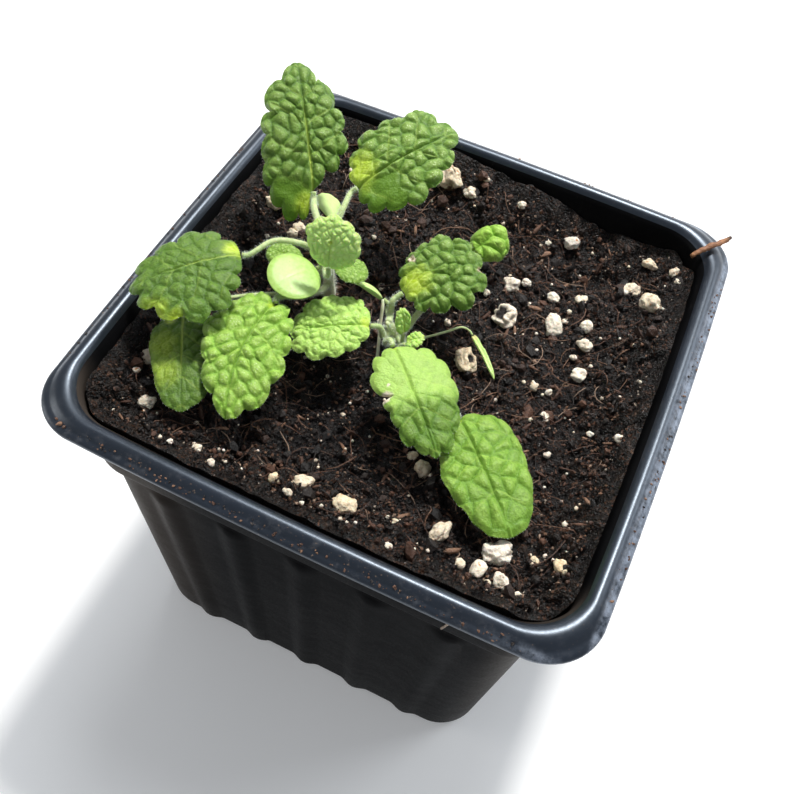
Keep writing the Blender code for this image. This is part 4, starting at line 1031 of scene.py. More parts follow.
def make_soil(material):
    """The mix as one closed form that fills the pot, its surface crumbled all over."""
    build = Build()
    count = SOIL_CELLS + 1
    steps = np.linspace(-1, 1, count)
    gx, gy = np.meshgrid(steps, steps)
    x, y = rounded(gx.ravel(), gy.ravel(), SOIL_EDGE, SOIL_CORNER)
    base = np.array([soil_base(a, b) for a, b in zip(x, y)])
    outer = ramp(np.maximum(np.abs(x), np.abs(y)) / SOIL_EDGE, 0.7, 1.0)
    spread = 0.4 + RIM_BOW * (1 - np.minimum(np.abs(x), np.abs(y)) ** 2 / SOIL_EDGE**2)
    grow = 1 + outer * spread / SOIL_EDGE
    x, y = x * grow, y * grow
    edge = np.maximum(np.abs(gx), np.abs(gy)).ravel()
    rise = soil_relief(x, y)
    fade = 1 - ramp(edge, 0.985, 1.0)
    for stem in (STEM_LEFT, STEM_RIGHT):
        near = np.hypot(x - stem[0][0], y - stem[0][1])
        rise -= 0.5 * (1 - ramp(near, 1.0, 2.6))
    z = base + rise * fade
    shade = ramp(-rise, -0.3, 0.7)
    hollow_x, hollow_y = SOIL_SWELLS[0][:2]
    hollow = np.exp(-((x - hollow_x) ** 2 + (y - hollow_y) ** 2) / 90.0)
    shade = np.clip(shade * 0.8 + hollow * 0.9, 0, 1)
    build.add(np.stack([x, y, z], 1), grid_faces(count, count), shade=shade)
    rim = list(range(count)) + [i * count + count - 1 for i in range(1, count)]
    rim += [(count - 1) * count + i for i in range(count - 2, -1, -1)]
    rim += [i * count for i in range(count - 2, 0, -1)]
    rim = np.array(rim)
    below = rim
    outline = np.stack(rounded(gx.ravel()[rim], gy.ravel()[rim], SOIL_EDGE, SOIL_CORNER), 1)
    for z_low, half in ((SHOULDER_Z + 3.2, COLLAR_HALF - 1.2), (SHOULDER_Z, wall_half(SHOULDER_Z) - 1.2),
                        (3.9, wall_half(FOOT_FILLET) - 1.6), (1.3, BASE_HALF - FOOT_FILLET - 1.4)):
        ring = np.column_stack([outline * half / SOIL_EDGE, np.full(len(rim), z_low)])
        start = build.count
        build.add(ring)
        under = start + np.arange(len(rim))
        build.join(np.stack([under, np.roll(under, -1), np.roll(below, -1), below], 1))
        below = under
    middle = build.count
    build.add(np.array([[0.0, 0.0, 1.3]]))
    build.join(np.stack([np.full(len(below), middle), np.roll(below, -1), below], 1))
    soil = build.make("soil_mix", [material])
    roof = CROSS_HEIGHT + WALL + GAP
    arm = CROSS_WIDTH / 2 + WALL + GAP
    for reach_x, reach_y in ((FAR, arm), (arm, FAR)):
        boolean(soil, cutter("channel", (-reach_x, -reach_y, 0.0), (reach_x, reach_y, roof)), "DIFFERENCE")
    soil.data.polygons.foreach_set("use_smooth", np.full(len(soil.data.polygons), True))
    soil.data.set_sharp_from_angle(angle=math.radians(SOIL_SHARP))
    return soil


def mesh_arrays(bm):
    """The points and faces of a mesh that is then freed."""
    points = np.array([tuple(v.co) for v in bm.verts])
    faces = np.array([[v.index for v in f.verts] for f in bm.faces])
    bm.free()
    return points, faces


def lump_shapes():
    """A few rough faceted lumps to draw crumbs from."""
    shapes = []
    for seed in range(10):
        bm = bmesh.new()
        bmesh.ops.create_icosphere(bm, subdivisions=1, radius=1.0)
        rng = random.Random(900 + seed)
        for vert in bm.verts:
            vert.co *= rng.uniform(0.65, 1.2)
        shapes.append(mesh_arrays(bm))
    return shapes


def grit_shapes():
    """Even smaller splinters, each with eight faces."""
    shapes = []
    corners = np.array([(1, 0, 0), (0, 1, 0), (-1, 0, 0), (0, -1, 0), (0, 0, 1), (0, 0, -1)], float)
    ring = ((0, 1), (1, 2), (2, 3), (3, 0))
    faces = np.array([(a, b, 4) for a, b in ring] + [(b, a, 5) for a, b in ring])
    rng = random.Random(800)
    for _ in range(12):
        sizes = np.array([rng.uniform(0.6, 1.5) for _ in corners])
        shapes.append((corners * sizes[:, None], faces))
    return shapes


def turned(points, rng):
    """Points turned to any attitude."""
    angles = [rng.uniform(0, math.tau) for _ in range(3)]
    matrix = np.array(Euler(angles).to_matrix())
    return points @ matrix.T


def scatter(rng, count, half):
    """Random places on the soil."""
    places = []
    while len(places) < count:
        x = rng.uniform(-half, half)
        y = rng.uniform(-half, half)
        over = max(0.0, abs(x) - half + 6), max(0.0, abs(y) - half + 6)
        if math.hypot(*over) < 6:
            places.append((x, y))
    return places


def heights(places):
    """The heights of many places at once."""
    x = np.array([p[0] for p in places])
    y = np.array([p[1] for p in places])
    base = np.array([soil_base(a, b) for a, b in places])
    return base + soil_relief(x, y)


CRUMB_KINDS = [
    # count, smallest, largest, flattest, tones
    (9000, 0.22, 0.6, 0.5, (0.0, 0.58)),
    (1300, 0.6, 1.2, 0.6, (0.0, 0.64)),
    (260, 1.2, 2.6, 0.45, (0.0, 0.62)),
    (3000, 0.22, 0.75, 0.5, (0.55, 0.86)),
    (650, 0.18, 0.5, 0.6, (0.9, 1.0)),
]
SMALL_CRUMB = 0.85
FIBRES = 620
FIBRE_STEPS = 7
CHIPS = 320


def make_crumbs(material):
    """Loose crumbs of peat, bark and dust on the soil."""
    build = Build()
    rng = random.Random(11)
    shapes = lump_shapes()
    small_shapes = grit_shapes()
    for count, smallest, largest, flattest, tones in CRUMB_KINDS:
        kinds = small_shapes if largest < SMALL_CRUMB else shapes
        places = scatter(rng, count, SOIL_EDGE - 0.8)
        spots = np.array(places)
        patches = 0.45 * value_noise(spots[:, 0] * 0.22, spots[:, 1] * 0.22, 0.0, 77)
        for (x, y), z, patch in zip(places, heights(places), patches):
            points, faces = kinds[rng.randrange(len(kinds))]
            size = rng.uniform(smallest, largest) / 2
            stretch = np.array([rng.uniform(0.8, 1.5), rng.uniform(0.6, 1.1), rng.uniform(flattest, 1.0)])
            points = turned(points * stretch, rng) * size
            tone = float(np.interp(rng.random() + patch, (0, 1), tones))
            build.add(points + np.array([x, y, z + size * 0.25]), faces, tone=tone)
    return build.make("soil_crumbs", [material], smooth=False)


def make_fibres(material):
    """Root threads, straw and split chips lying on the soil."""
    build = Build()
    rng = random.Random(23)
    for place in scatter(rng, FIBRES, SOIL_EDGE - 3.0):
        x, y = place
        length = rng.uniform(2.0, 8.0) if rng.random() < 0.8 else rng.uniform(8.0, 13.0)
        heading = rng.uniform(0, math.tau)
        bend = rng.uniform(-0.35, 0.35)
        points = []
        thickness = rng.uniform(0.04, 0.11)
        for _ in range(FIBRE_STEPS):
            points.append((x, y))
            x += math.cos(heading) * length / FIBRE_STEPS
            y += math.sin(heading) * length / FIBRE_STEPS
            heading += bend + rng.uniform(-0.25, 0.25)
        if max(max(abs(a), abs(b)) for a, b in points) > SOIL_EDGE - 1.0:
            continue
        z = heights(points)
        z = (z + np.roll(z, 1) + np.roll(z, -1)) / 3
        last = FIBRE_STEPS - 1
        lift = rng.uniform(0.15, 0.8)
        path = [(a, b, c + lift * math.sin(math.pi * i / last) + 0.15)
                for i, ((a, b), c) in enumerate(zip(points, z))]
        radii = [thickness * (1.0 if 0 < i < last else 0.4) for i in range(FIBRE_STEPS)]
        tube(build, path, radii, 3, (0, 0, 1), tone=rng.choice((0.3, 0.5, 0.6, 0.66, 0.75, 0.85)))
    shapes = lump_shapes()
    places = scatter(rng, CHIPS, SOIL_EDGE - 2.0)
    for (x, y), z in zip(places, heights(places)):
        points, faces = shapes[rng.randrange(len(shapes))]
        size = rng.uniform(0.5, 1.9)
        flat = points * np.array([1.0, rng.uniform(0.12, 0.3), rng.uniform(0.08, 0.16)]) * size
        tilt = Euler((rng.uniform(-0.5, 0.5), rng.uniform(-0.5, 0.5), rng.uniform(0, math.tau)))
        flat = flat @ np.array(tilt.to_matrix()).T
        build.add(flat + np.array([x, y, z + 0.25]), faces, tone=rng.choice((0.35, 0.55, 0.65, 0.8)))
    return build.make("soil_fibres", [material])


def icosphere(level):
    """A round shape to make grains from."""
    bm = bmesh.new()
    bmesh.ops.create_icosphere(bm, subdivisions=level, radius=1.0)
    return mesh_arrays(bm)


def make_perlite(material):
    """Popped grains, each its own lumpy shape, sunk a little in the soil, and white dust between them."""
    build = Build()
    rng = random.Random(7)
    largest, fine, coarse = icosphere(5), icosphere(4), icosphere(3)
    for index, (x, y, width, tan) in enumerate(GRAINS):
        points, faces = largest if width > 4.0 else fine if width > 1.8 else coarse
        stretch = np.array([rng.uniform(0.9, 1.15), rng.uniform(0.72, 1.0), rng.uniform(0.7, 0.9)])
        k = 1.5
        shift = index * 5.3
        lump = value_noise(points[:, 0] * k + shift, points[:, 1] * k, points[:, 2] * k, 61)
        knobs = value_noise(points[:, 0] * 3.4 + shift, points[:, 1] * 3.4, points[:, 2] * 3.4, 62)
        pits = value_noise(points[:, 0] * 8 + shift, points[:, 1] * 8, points[:, 2] * 8, 63)
        shape = points * (1 + 0.32 * lump + 0.13 * knobs + 0.03 * pits)[:, None] * stretch * width / 2
        hole = np.zeros(len(points))
        turn = rng.uniform(0, math.tau)
        if index in HOLLOWS:
            way, opening, longer = HOLLOWS[index]
            turn = HOLLOW_TURN
            shape = shape * np.array([0.9, longer, 1.0])
            near = np.arccos(np.clip(points @ (np.array(way) / np.linalg.norm(way)), -1, 1))
            hole = np.exp(-((near / opening * (1 + 0.35 * knobs)) ** 4))
            shape = shape * (1 - 0.62 * hole)[:, None]
        c, s = math.cos(turn), math.sin(turn)
        shape = shape @ np.array([[c, s, 0], [-s, c, 0], [0, 0, 1.0]])
        z = soil_base(x, y) + width * 0.12
        # painted shade on the lower part of each grain
        low = ramp(-shape[:, 2] / width, 0.0, 0.35)
        build.add(shape + np.array([x, y, z]), faces, tone=tan, shade=low, hole=hole)
    shapes = lump_shapes()
    places = scatter(rng, DUST_GRAINS, SOIL_EDGE - 1.5)
    for (x, y), z in zip(places, heights(places)):
        points, faces = shapes[rng.randrange(len(shapes))]
        size = rng.uniform(0.14, 0.42) if rng.random() < 0.85 else rng.uniform(0.42, 0.7)
        build.add(turned(points, rng) * size + np.array([x, y, z + size * 0.4]), faces, 0,
                  tone=rng.uniform(0, 0.6), shade=0.0)
    return build.make("perlite_grains", [material])


# Stems and leaves


def stem_radius(share):
    """The radius of a stem at a share of its length."""
    return STEM_RADIUS * (1 - STEM_TAPER * share)


def blade_axes(leaf):
    """The leaf's own directions: along the midrib, to its right, and up out of its face."""
    along = leaf.tip - leaf.base
    length = along.length
    along.normalize()
    face = Vector((0, 0, 1)) - along * along.z
    face.normalize()
    right = along.cross(face)
    turn = math.radians(leaf.roll)
    c, s = math.cos(turn), math.sin(turn)
    return leaf.base, along, right * c - face * s, face * c + right * s, length


def petiole_path(leaf, base, forward, face):
    """The petiole's path: squarely out of the stem, through its own points, and in line with the blade."""
    path = smooth_path(leaf.stem, STEM_STEPS)
    last = len(path) - 2
    step = next(i for i in range(last + 1) if leaf.joint <= path[i + 1].z or i == last)
    share = (leaf.joint - path[step].z) / (path[step + 1].z - path[step].z)
    middle = path[step].lerp(path[step + 1], share)
    out = Vector(leaf.route[0]) - middle
    out.z = 0
    out.normalize()
    start = middle + out * 0.2
    near = base - forward * PETIOLE_END - face * PETIOLE_DIP
    first = middle + out * (stem_radius((step + share) / (len(path) - 1)) + GAP + PETIOLE_STUB)
    return smooth_path([start, first, *leaf.route, near, base - forward * 0.2 - face * 0.15], 5)


def oval(leaf, length):
    """Crests of an even leaf, for the small ones whose outline needs no more."""
    crests = []
    for turn in (0.55, 1.05, 1.55, 2.1, 2.6):
        along = length / 2 * (1 + math.cos(turn))
        crests.append((along, leaf.half_width * math.sin(turn)))
    return crests


def outline(leaf, length, angles):
    """How far the edge is from a centre on the midrib, in each direction; the tip is at angle 0."""
    centre = 0.45 * length
    stretch = 0.5 * length / leaf.half_width
    reach = np.zeros(len(angles))
    for sign, crests in ((1, leaf.right), (-1, leaf.left)):
        crests = crests or oval(leaf, length)
        stops = [0.0]
        sizes = [length - centre]
        for along, across in crests:
            stops.append(math.atan2(across * stretch, along - centre))
            sizes.append(math.hypot(along - centre, across * stretch))
        stops.append(math.pi)
        sizes.append(centre - 0.1)
        stops = np.array(stops)
        sizes = np.array(sizes)
        pick = angles * sign >= 0
        a = np.abs(angles[pick])
        place = np.clip(np.searchsorted(stops, a, side="right") - 1, 0, len(stops) - 2)
        gap = stops[place + 1] - stops[place]
        phase = (a - stops[place]) / gap
        slopes = np.gradient(sizes, stops)
        slopes[0] = 0.0
        h00 = 2 * phase**3 - 3 * phase**2 + 1
        h10 = phase**3 - 2 * phase**2 + phase
        h01 = -2 * phase**3 + 3 * phase**2
        h11 = phase**3 - phase**2
        value = (h00 * sizes[place] + h10 * gap * slopes[place] + h01 * sizes[place + 1]
                 + h11 * gap * slopes[place + 1])
        depth = leaf.notch * np.clip(gap * sizes[place] / 4.4, 0.3, 1.1)
        depth = np.where(place >= len(stops) - 2, 0.0, depth)
        off_crest = 2 * np.minimum(phase, 1 - phase)
        value -= depth * (1 - np.sqrt(np.clip(1 - off_crest**2, 0, 1))) ** 0.85
        reach[pick] = value
    for degrees, wide, deep in leaf.tears:
        off = np.degrees(angles) - degrees
        reach -= deep * np.exp(-((off / (wide / 2)) ** 2) * 2)
    return centre, reach, stretch


def leaf_relief(leaf, length, along, across, edge):
    """The quilted height of the blade, and the values that colour it."""
    side = np.where(across >= 0, 1.0, -1.0)
    off = np.abs(across)
    seed = sum(ord(letter) for letter in leaf.node)
    wander = 0.3 * leaf.cell * value_noise(along / leaf.cell / 1.9, across / leaf.cell / 1.9, 0.0, seed)
    u = (along * math.cos(leaf.lean) - off * math.sin(leaf.lean) + wander) / leaf.cell
    v = (along * math.sin(leaf.lean) + off * math.cos(leaf.lean) + wander) / leaf.cell
    if not leaf.side_veins:
        u, v = (along + wander) / leaf.cell + 0.3, (across + wander) / leaf.cell + 60.4
        off = off + 2.0
    first, second, label = cells(u, v + (side > 0) * 40 * bool(leaf.side_veins), seed, leaf.jumble)
    border = (second - first) * 0.5 * leaf.cell
    fine_first, fine_second, _ = cells(u * 2.4 + 5.0, v * 2.4 + 9.0, seed + 1, 0.9)
    fine = np.clip((fine_second - fine_first) / 0.5, 0, 1)
    lateral = np.abs(u / 2 - np.round(u / 2)) * 2 * leaf.cell
    lateral = lateral + 0.5 * ramp(off, 0.6, 1.0) * ramp(edge, 0.8, 1.0)
    hidden = 1.3 * (1 - leaf.side_veins)
    nearest = np.minimum(np.minimum(border + 0.03, lateral + 0.1 + hidden), off * 0.9 + 0.02 + 0.3 * hidden)
    pillow = np.clip(nearest / (0.4 * leaf.cell), 0, 1)
    pillow = (1 - (1 - pillow) ** 2) ** 0.6
    dome = np.clip(1.05 - (first / 0.8) ** 2, 0, 1)
    quilt = leaf.relief * (0.95 + 0.3 * label) * (0.62 + 0.38 * dome)
    if leaf.smooth_to:
        quilt = quilt * (0.2 + 0.8 * ramp(along, leaf.smooth_to - 1.5, leaf.smooth_to + 2.0))
    flat = np.zeros_like(along)
    if leaf.flat_back is not None:
        flat = np.maximum(flat, 1 - ramp(along + 0.25 * across, leaf.flat_back - 1.5, leaf.flat_back + 0.8))
    if leaf.flat_right is not None:
        flat = np.maximum(flat, ramp(across - 0.3 * (along - leaf.flat_right), 0.6, 1.6)
                          * (1 - ramp(along, leaf.flat_right, leaf.flat_right + 3.0)))
    glow_along, glow_across, glow_reach = leaf.glow
    distance = np.hypot(along - glow_along, across - glow_across)
    ragged = 1 + 0.25 * value_noise(along * 0.9, across * 0.9, 2.0, seed)
    glow = 1 - ramp(distance * ragged, 0.1 * glow_reach, glow_reach)
    quilt = quilt * (1 - 0.75 * np.maximum(flat, glow)) * np.where(across > 0, leaf.smooth_side, 1.0)
    height = quilt * pillow * (0.86 + 0.14 * fine)
    height += 0.2 * leaf.relief * fractal(along * 0.5, across * 0.5, 0.0, seed + 5, 2)
    height -= leaf.relief * 0.45 * np.exp(-((off / 0.3) ** 2)) * (1 - ramp(along, 0.5 * length, length))
    height -= (0.05 + 0.6 * leaf.relief) * ramp(edge, 0.86, 1.0) ** 2
    from_base = np.hypot(along + 0.2, across)
    bearing = np.arctan2(across, along + 0.2) / leaf.fan
    stray = np.abs(bearing - np.round(bearing)) * leaf.fan
    ray = from_base * np.sin(np.minimum(stray, 1.5))
    fan = np.exp(-((ray / 0.13) ** 2)) * glow * ramp(from_base, 0.2, 0.8)
    for a, c, reach, strength in leaf.edge_glow:
        near = np.hypot(along - a, across - c) * ragged
        glow = np.maximum(glow, strength * (1 - ramp(near, 0.2 * reach, reach)))
    vein = np.exp(-((off / 0.16) ** 2)) * (1 - ramp(along, 0.3 * length, 0.75 * length)) * leaf.midrib
    side_vein = np.exp(-((lateral / 0.13) ** 2)) * 0.22 * ramp(leaf.cell, 0.5, 1.6) * leaf.side_veins
    net = np.exp(-(((fine_second - fine_first) * leaf.cell / 0.3) ** 2)) * glow * ramp(from_base, 0.6, 2.0)
    vein = np.maximum(np.maximum(vein, side_vein), np.maximum(fan * 0.7, net * 0.6))
    dry = np.zeros_like(along)
    for a, c, reach in leaf.dry:
        rough = reach * (1 + 0.6 * value_noise(along * 1.6, across * 1.6, 4.0, seed))
        dry = np.maximum(dry, 1 - ramp(np.hypot(along - a, across - c), rough * 0.6, rough))
    tone = leaf.tone + 0.1 * label
    lime = leaf.lime
    if leaf.smooth_to:
        fading = ramp(along, leaf.smooth_to - 1.0, leaf.smooth_to + 3.0)
        tone = tone - 0.6 * fading
        lime = lime * (1 - fading)
    # painted highlight on the crests of the pillows, none in the flat patches
    crest = pillow * (0.4 + 0.6 * dome) * (1 - flat) * leaf.painted_sheen
    # painted shade in the creases
    painted_crease_shade = (1 - pillow) * np.clip(quilt / 0.55, 0, 1)
    values = {"vein": vein, "glow": glow, "crest": crest, "shade": flat, "dry": dry, "tone": tone,
              "pale": leaf.pale, "lime": lime, "painted_crease_shade": painted_crease_shade}
    return height, values


def blade_points(leaf, rings, count):
    """Rings of flat blade points from a centre on the midrib to the edge."""
    length = (leaf.tip - leaf.base).length
    angles = (np.arange(count) / count * 2 - 1) * math.pi
    centre, reach, stretch = outline(leaf, length, angles)
    share = np.linspace(0, 1, rings + 1)[1:]
    share = share * (1 - 0.12 * share) / 0.88
    along = centre + share[:, None] * (reach * np.cos(angles))[None, :]
    across = share[:, None] * (reach * np.sin(angles) / stretch)[None, :]
    edge = np.broadcast_to(share[:, None], along.shape)
    along = np.concatenate(([centre], along.ravel()))
    across = np.concatenate(([0.0], across.ravel()))
    edge = np.concatenate(([0.0], edge.ravel()))
    return along, across, edge


def place_blade(leaf, along, across, height):
    """Puts blade points in the shared frame."""
    base, forward, right, face, length = blade_axes(leaf)
    t = along / length
    bend = 4 * t * (1 - t)
    lift = leaf.arch * bend + leaf.cup * (across / leaf.half_width) ** 2 + height
    aside = across + leaf.sway * np.maximum(0.0, bend)
    frame_axes = np.array([tuple(forward), tuple(right), tuple(face)])
    return np.array(base) + np.stack([along, aside, lift], 1) @ frame_axes


def disc_faces(rings, count, start=0, flip=False):
    """Faces of a disc of rings round a centre point."""
    ring = start + 1 + np.arange(count)
    fan = np.stack([np.full(count, start), ring, np.roll(ring, -1)], 1)
    quads = grid_faces(rings, count, closed=True, start=start + 1)
    quads = quads[:, ::-1]
    if flip:
        return fan[:, ::-1], quads[:, ::-1]
    return fan, quads


def add_hairs(build, spots, normals, lean, length, width, rng, kind):
    """Short bent hairs, each a thin three-sided spike."""
    points = []
    faces = []
    for spot, normal in zip(spots, normals):
        size = length * rng.uniform(0.6, 1.25)
        tilt = Vector((rng.uniform(-1, 1), rng.uniform(-1, 1), rng.uniform(-1, 1))) * 0.35
        way = (Vector(normal) + lean * 0.5 + tilt).normalized()
        middle = Vector(spot) + way * size * 0.55
        end = Vector(spot) + (way + lean * 0.35).normalized() * size
        sideways = way.orthogonal().normalized()
        other = way.cross(sideways)
        start = len(points)
        for centre, radius in ((Vector(spot) - way * 0.06, width), (middle, width * 0.7)):
            for turn in (0.0, math.tau / 3, 2 * math.tau / 3):
                points.append(centre + (sideways * math.cos(turn) + other * math.sin(turn)) * radius)
        points.append(end)
        for j in range(3):
            k = (j + 1) % 3
            faces.append((start + j, start + k, start + 3 + k))
            faces.append((start + j, start + 3 + k, start + 3 + j))
            faces.append((start + 3 + j, start + 3 + k, start + 6))
        faces.append((start, start + 2, start + 1))
    if points:
        build.add(np.array([tuple(p) for p in points]), np.array(faces), kind)


def tube_hairs(build, path, radii, count, length, rng, kind):
    """Hairs all round a stalk, a few to each step of its path."""
    spots, normals = [], []
    steps = len(path) - 1
    for _ in range(count):
        place = rng.uniform(0, steps - 1e-6)
        i = int(place)
        point = path[i].lerp(path[i + 1], place - i)
        along = (path[i + 1] - path[i]).normalized()
        across = along.orthogonal().normalized()
        other = along.cross(across)
        turn = rng.uniform(0, math.tau)
        out = across * math.cos(turn) + other * math.sin(turn)
        spots.append(point + out * radii[i] * 0.95)
        normals.append(out)
    add_hairs(build, spots, normals, (path[-1] - path[0]).normalized() * 0.5, length, 0.017, rng, kind)


def make_leaf(leaf, materials):
    """A blade with its relief, thin edge and underside, its petiole, and down on both."""
    build = Build()
    base, forward, right, face, length = blade_axes(leaf)
    count = int(round(SPOKES * leaf.fine / 4)) * 4
    rings = int(round(RINGS * leaf.fine))
    along, across, edge = blade_points(leaf, rings, count)
    height, values = leaf_relief(leaf, length, along, across, edge)
    thin = BLADE_HALF * (1 - EDGE_THINNING * ramp(edge, 0.8, 1.0))
    top = place_blade(leaf, along, across, height + thin)
    fan, quads = disc_faces(rings, count)
    build.add(top, quads, **values)
    build.join(fan)
    low_rings, low_count = rings // 2, count // 2
    along, across, edge = blade_points(leaf, low_rings, low_count)
    height, values = leaf_relief(leaf, length, along, across, edge)
    keel = KEEL * np.exp(-((across / 0.4) ** 2)) * (1 - ramp(along, 0.3 * length, length))
    thin = BLADE_HALF * (1 - EDGE_THINNING * ramp(edge, 0.8, 1.0))
    values["crest"] = values["crest"] * 0
    values["tone"] = values["tone"] + 0.25
    under = place_blade(leaf, along, across, height - thin - keel * (edge < 0.97))
    start = build.count
    fan, quads = disc_faces(low_rings, low_count, start, flip=True)
    build.add(under, **values)
    build.join(fan)
    build.join(quads)
    outer = 1 + (rings - 1) * count + np.arange(count)
    below = start + 1 + (low_rings - 1) * low_count + np.arange(low_count)
    even, odd = outer[0::2], outer[1::2]
    after, below_after = np.roll(even, -1), np.roll(below, -1)
    build.join(np.concatenate([
        np.stack([even, below, odd], 1), np.stack([odd, below, below_after], 1),
        np.stack([odd, below_after, after], 1),
    ]))

    path = petiole_path(leaf, base, forward, face)
    size = leaf.radius
    radii = [size * (1.2 - 0.35 * i / (len(path) - 1)) for i in range(len(path))]
    pale = np.repeat(np.linspace(0.35, 0.1, len(path)), PETIOLE_SIDES)
    tube(build, path, radii, PETIOLE_SIDES, right, kind=1, bumps=0.06, seed=3, pale=pale)
    for points, thickness in leaf.stalks:
        stalk = smooth_path(points, 4)
        tube(build, stalk, [thickness] * len(stalk), 8, (1, 0, 0), kind=1, bumps=0.12, seed=6, pale=0.9)
    rng = random.Random(leaf.node)
    reach = sum((b - a).length for a, b in zip(path, path[1:]))
    tube_hairs(build, path, radii, int(DOWN_PER_MM * reach * leaf.hairs), PETIOLE_DOWN, rng, 2)
    if leaf.slot == "leaf":
        edge_spots = top[1 + (rings - 1) * count :: 3]
        middle = Vector(top[0])
        spots, normals = [], []
        for point in edge_spots:
            out = (Vector(point) - middle).normalized()
            spots.append(point)
            normals.append(out + face * rng.uniform(-0.4, 0.6))
        add_hairs(build, spots, normals, Vector((0, 0, 0)), EDGE_DOWN, 0.014, rng, 2)
    add(build.make(leaf.node + "_blade", materials), leaf.slot, leaf.node)


def make_stem(name, node, points, materials):
    """A hairy stem that ends in a small dome."""
    build = Build()
    path = smooth_path(points, 8)
    radii = []
    for i in range(len(path)):
        share = i / (len(path) - 1)
        end = 1 - ramp(share, 0.9, 1.06)
        radii.append(stem_radius(share) * (1 + 0.05 * math.sin(share * 19)) * end)
    tube(build, path, radii, 16, (1, 0, 0), kind=0, bumps=0.1, seed=5,
         pale=np.repeat(np.linspace(0.9, 0.35, len(path)), 16))
    rng = random.Random(name)
    above = [i for i, p in enumerate(path) if p.z > 71.5]
    tube_hairs(build, path[above[0]:], radii[above[0]:], STEM_HAIRS, STEM_DOWN, rng, 1)
    add(build.make(name, materials), "stem", node)


def make_sliver(materials):
    """The split piece of bark over the bead at the right corner."""
    build = Build()
    path = smooth_path(SLIVER, 6)
    last = len(path) - 1
    radii = [0.55 * (0.45 + 0.55 * math.sin(math.pi * (0.15 + 0.75 * i / last))) for i in range(len(path))]
    shade = np.repeat(ramp(np.arange(len(path)) / last, 0.75, 1.0), 8)
    tube(build, path, radii, 8, (0, 0, 1), bumps=0.35, seed=9, shade=shade)
    add(build.make("bark_splinter", materials), "bark", "bark_sliver")


RIM_CRUMBS = [
    (-37.6, -43.3, 1.1), (-36.8, -43.5, 0.8), (-38.5, -42.8, 0.7), (42.9, -34.1, 1.0), (42.7, -35.3, 0.8),
    (43.2, -33.2, 0.6), (34.0, -43.9, 0.9), (-29.9, -44.0, 0.6), (16.7, -43.8, 0.6), (-3.1, -44.0, 0.5),
]
RIM_DUST = [(3, 110), (0, 80), (2, 36), (1, 18)]  # side, counted anticlockwise from +X, and how many specks


def rim_height(half):
    """The height of the rim's upper face at a distance from the pot's middle."""
    top = sorted((part[0], part[2]) for part in RIM[6:])
    return float(np.interp(half, [half for half, z in top], [z for half, z in top]))


def make_rim_crumbs(material):
    """Soil specks on the lip and in the groove of the rim, and a straw that sticks to the front."""
    build = Build()
    rng = random.Random(31)
    shapes = lump_shapes()
    spots = [(x, y, rim_height(43.5), size) for x, y, size in RIM_CRUMBS]
    for side, count in RIM_DUST:
        c = round(math.cos(side * math.pi / 2))
        s = round(math.sin(side * math.pi / 2))
        for _ in range(count):
            along = rng.uniform(-33.0, 33.0)
            half = rng.uniform(43.1, 44.2)
            out = half + RIM_BOW * (1 - (along / half) ** 2)
            place = (out * c - along * s, out * s + along * c, rim_height(half))
            spots.append((*place, rng.uniform(0.15, 0.62)))
    for x, y, z, size in spots:
        points, faces = shapes[rng.randrange(len(shapes))]
        flat = turned(points * np.array([1.3, 0.8, 0.7]), rng) * np.array([1.0, 1.0, 0.6]) * size / 2
        tone = rng.choice((0.3, 0.55, 0.65, 0.8))
        build.add(flat + np.array([x, y, z + size * 0.1]), faces, tone=tone)
    straw = smooth_path([(24.5, -40.30, 63.4), (25.0, -40.45, 65.8), (25.3, -40.58, 67.8)], 3)
    tube(build, straw, [0.2] * len(straw), 5, (1, 0, 0), bumps=0.3, seed=4, tone=0.9)
    return build.make("rim_crumbs", [material], smooth=False)


def add(piece, slot, *nodes):
    """Ties a piece to the body and hides the solids that it stands for; the slot is not used."""
    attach(piece, "root")
    if nodes:
        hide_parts(*nodes)


# Everything

LEAF = leaf_material("leaf_green", 0.12)
YOUNG = leaf_material("leaf_young", 0.7)
SEED = seed_leaf_material()
STALK = stalk_material()
HAIR = hair_material()
CRUMB = crumb_material()

add(make_pot(pot_wall_material(), pot_rim_material()), "pot", "pot")
add(make_soil(soil_material()), "soil", "soil")
add(make_crumbs(CRUMB), "soil")
add(make_fibres(CRUMB), "soil")
add(make_perlite(perlite_material()), "soil")
add(make_rim_crumbs(CRUMB), "soil")
make_stem("stem_left_hairy", "stem_left", STEM_LEFT, [STALK, HAIR])
make_stem("stem_right_hairy", "stem_right", STEM_RIGHT, [STALK, HAIR])
for leaf in LEAVES:
    blade = SEED if leaf.slot == "seed_leaf" else YOUNG if leaf.lime > 0.4 else LEAF
    make_leaf(leaf, [blade, STALK, HAIR])
make_sliver([bark_material()])

# Floor, light and camera


def make_floor():
    """A pale floor that curves up into a backdrop."""
    s = Shader("floor_pale")
    colour = s.mix(s.noise(0.02, 2.0), (0.86, 0.86, 0.86), (0.90, 0.90, 0.90))
    s.set(Emission_Color=(1.0, 1.0, 1.0, 1.0), Emission_Strength=0.16)
    s.finish(colour, s.span(s.noise(0.3, 3.0), 0.3, 0.7, 0.75, 0.9))
    build = Build()
    reach, rise, turn = 1500.0, 1100.0, 220.0
    profile = [(-reach, 0.0), (600.0, 0.0)]
    for step in range(1, 13):
        angle = math.pi / 2 * step / 12
        profile.append((600.0 + turn * math.sin(angle), turn * (1 - math.cos(angle))))
    profile.append((600.0 + turn, rise))
    points = [(x, y, z) for y, z in profile for x in (-reach, 0.0, reach)]
    build.add(np.array(points), grid_faces(len(profile), 3))
    floor = build.make("floor", [s.material])


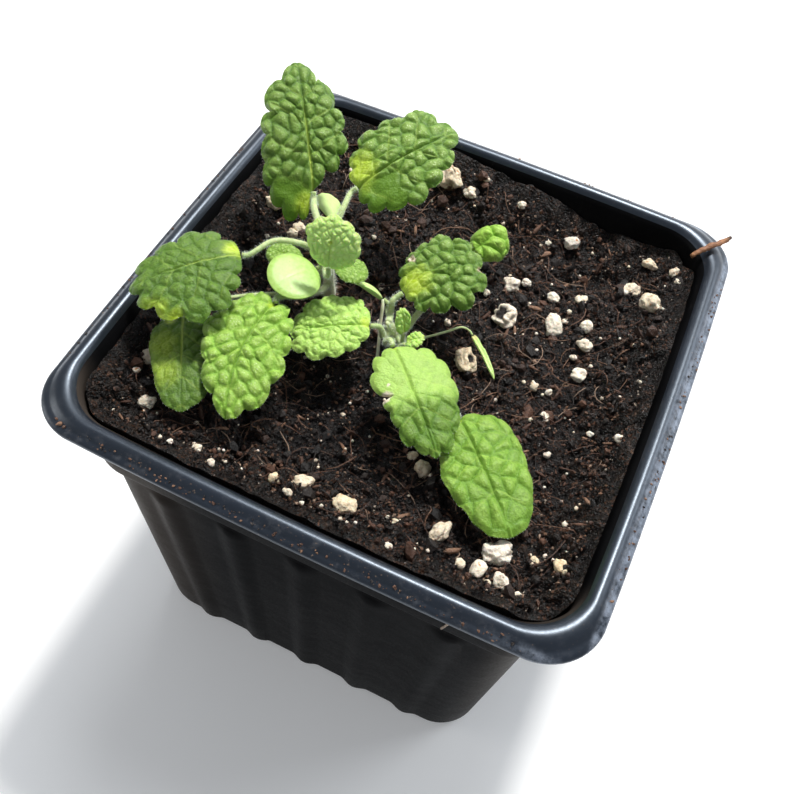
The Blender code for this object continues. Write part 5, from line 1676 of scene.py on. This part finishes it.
def area_light(name, place, aim, size, power, colour):
    """A round soft light that faces a point."""
    data = bpy.data.lights.new(name, "AREA")
    data.shape = "DISK"
    data.size = size
    data.energy = power
    data.color = colour
    light = bpy.data.objects.new(name, data)
    light.location = place
    light.rotation_euler = (Vector(aim) - Vector(place)).to_track_quat("-Z", "Y").to_euler()
    bpy.context.scene.collection.objects.link(light)


LIGHTS = [
    # name, place, height of the point it faces, size, power and colour
    ("key", (0.0, 0.30, 0.68), 0.07, 0.08, 4.9, (1.0, 0.98, 0.94)),
    ("sky", (-0.05, 0.28, 0.70), 0.07, 0.29, 1.9, (0.92, 0.96, 1.0)),
    ("back", (0.45, 0.45, 0.50), 0.07, 0.34, 1.6, (0.90, 0.95, 1.0)),
    ("side", (-0.70, -0.25, 0.28), 0.05, 0.30, 0.8, (1.0, 0.96, 0.90)),
]


def make_light():
    """Four soft lights and a pale room."""
    for name, place, height, size, power, colour in LIGHTS:
        area_light(name, place, (0, 0, height), size, power, colour)
    world = bpy.data.worlds.new("room")
    bpy.context.scene.world = world
    world.use_nodes = True
    background = world.node_tree.nodes["Background"]
    background.inputs["Color"].default_value = (0.86, 0.92, 1.0, 1.0)
    background.inputs["Strength"].default_value = 0.32


def make_camera():
    """The photograph's view: a camera above the front right of the pot, a little turned."""
    focal_length_px = 886.67
    picture_px = 794.0
    middle_x_px, middle_y_px = 362.67, 422.03
    data = bpy.data.cameras.new("camera")
    data.sensor_width = 36.0
    data.lens = 36.0 * focal_length_px / picture_px
    data.shift_x = (picture_px / 2 - middle_x_px) / picture_px
    data.shift_y = (middle_y_px - picture_px / 2) / picture_px
    data.clip_start = 0.01
    camera = bpy.data.objects.new("camera", data)
    camera.location = Vector((26.14, -89.25, 191.61)) * MM
    camera.rotation_euler = [math.radians(a) for a in (32.230, -3.565, 25.766)]
    bpy.context.scene.collection.objects.link(camera)
    bpy.context.scene.camera = camera


make_floor()
make_light()
make_camera()
bpy.context.scene.view_settings.view_transform = "Standard"
bpy.context.view_layer.update()
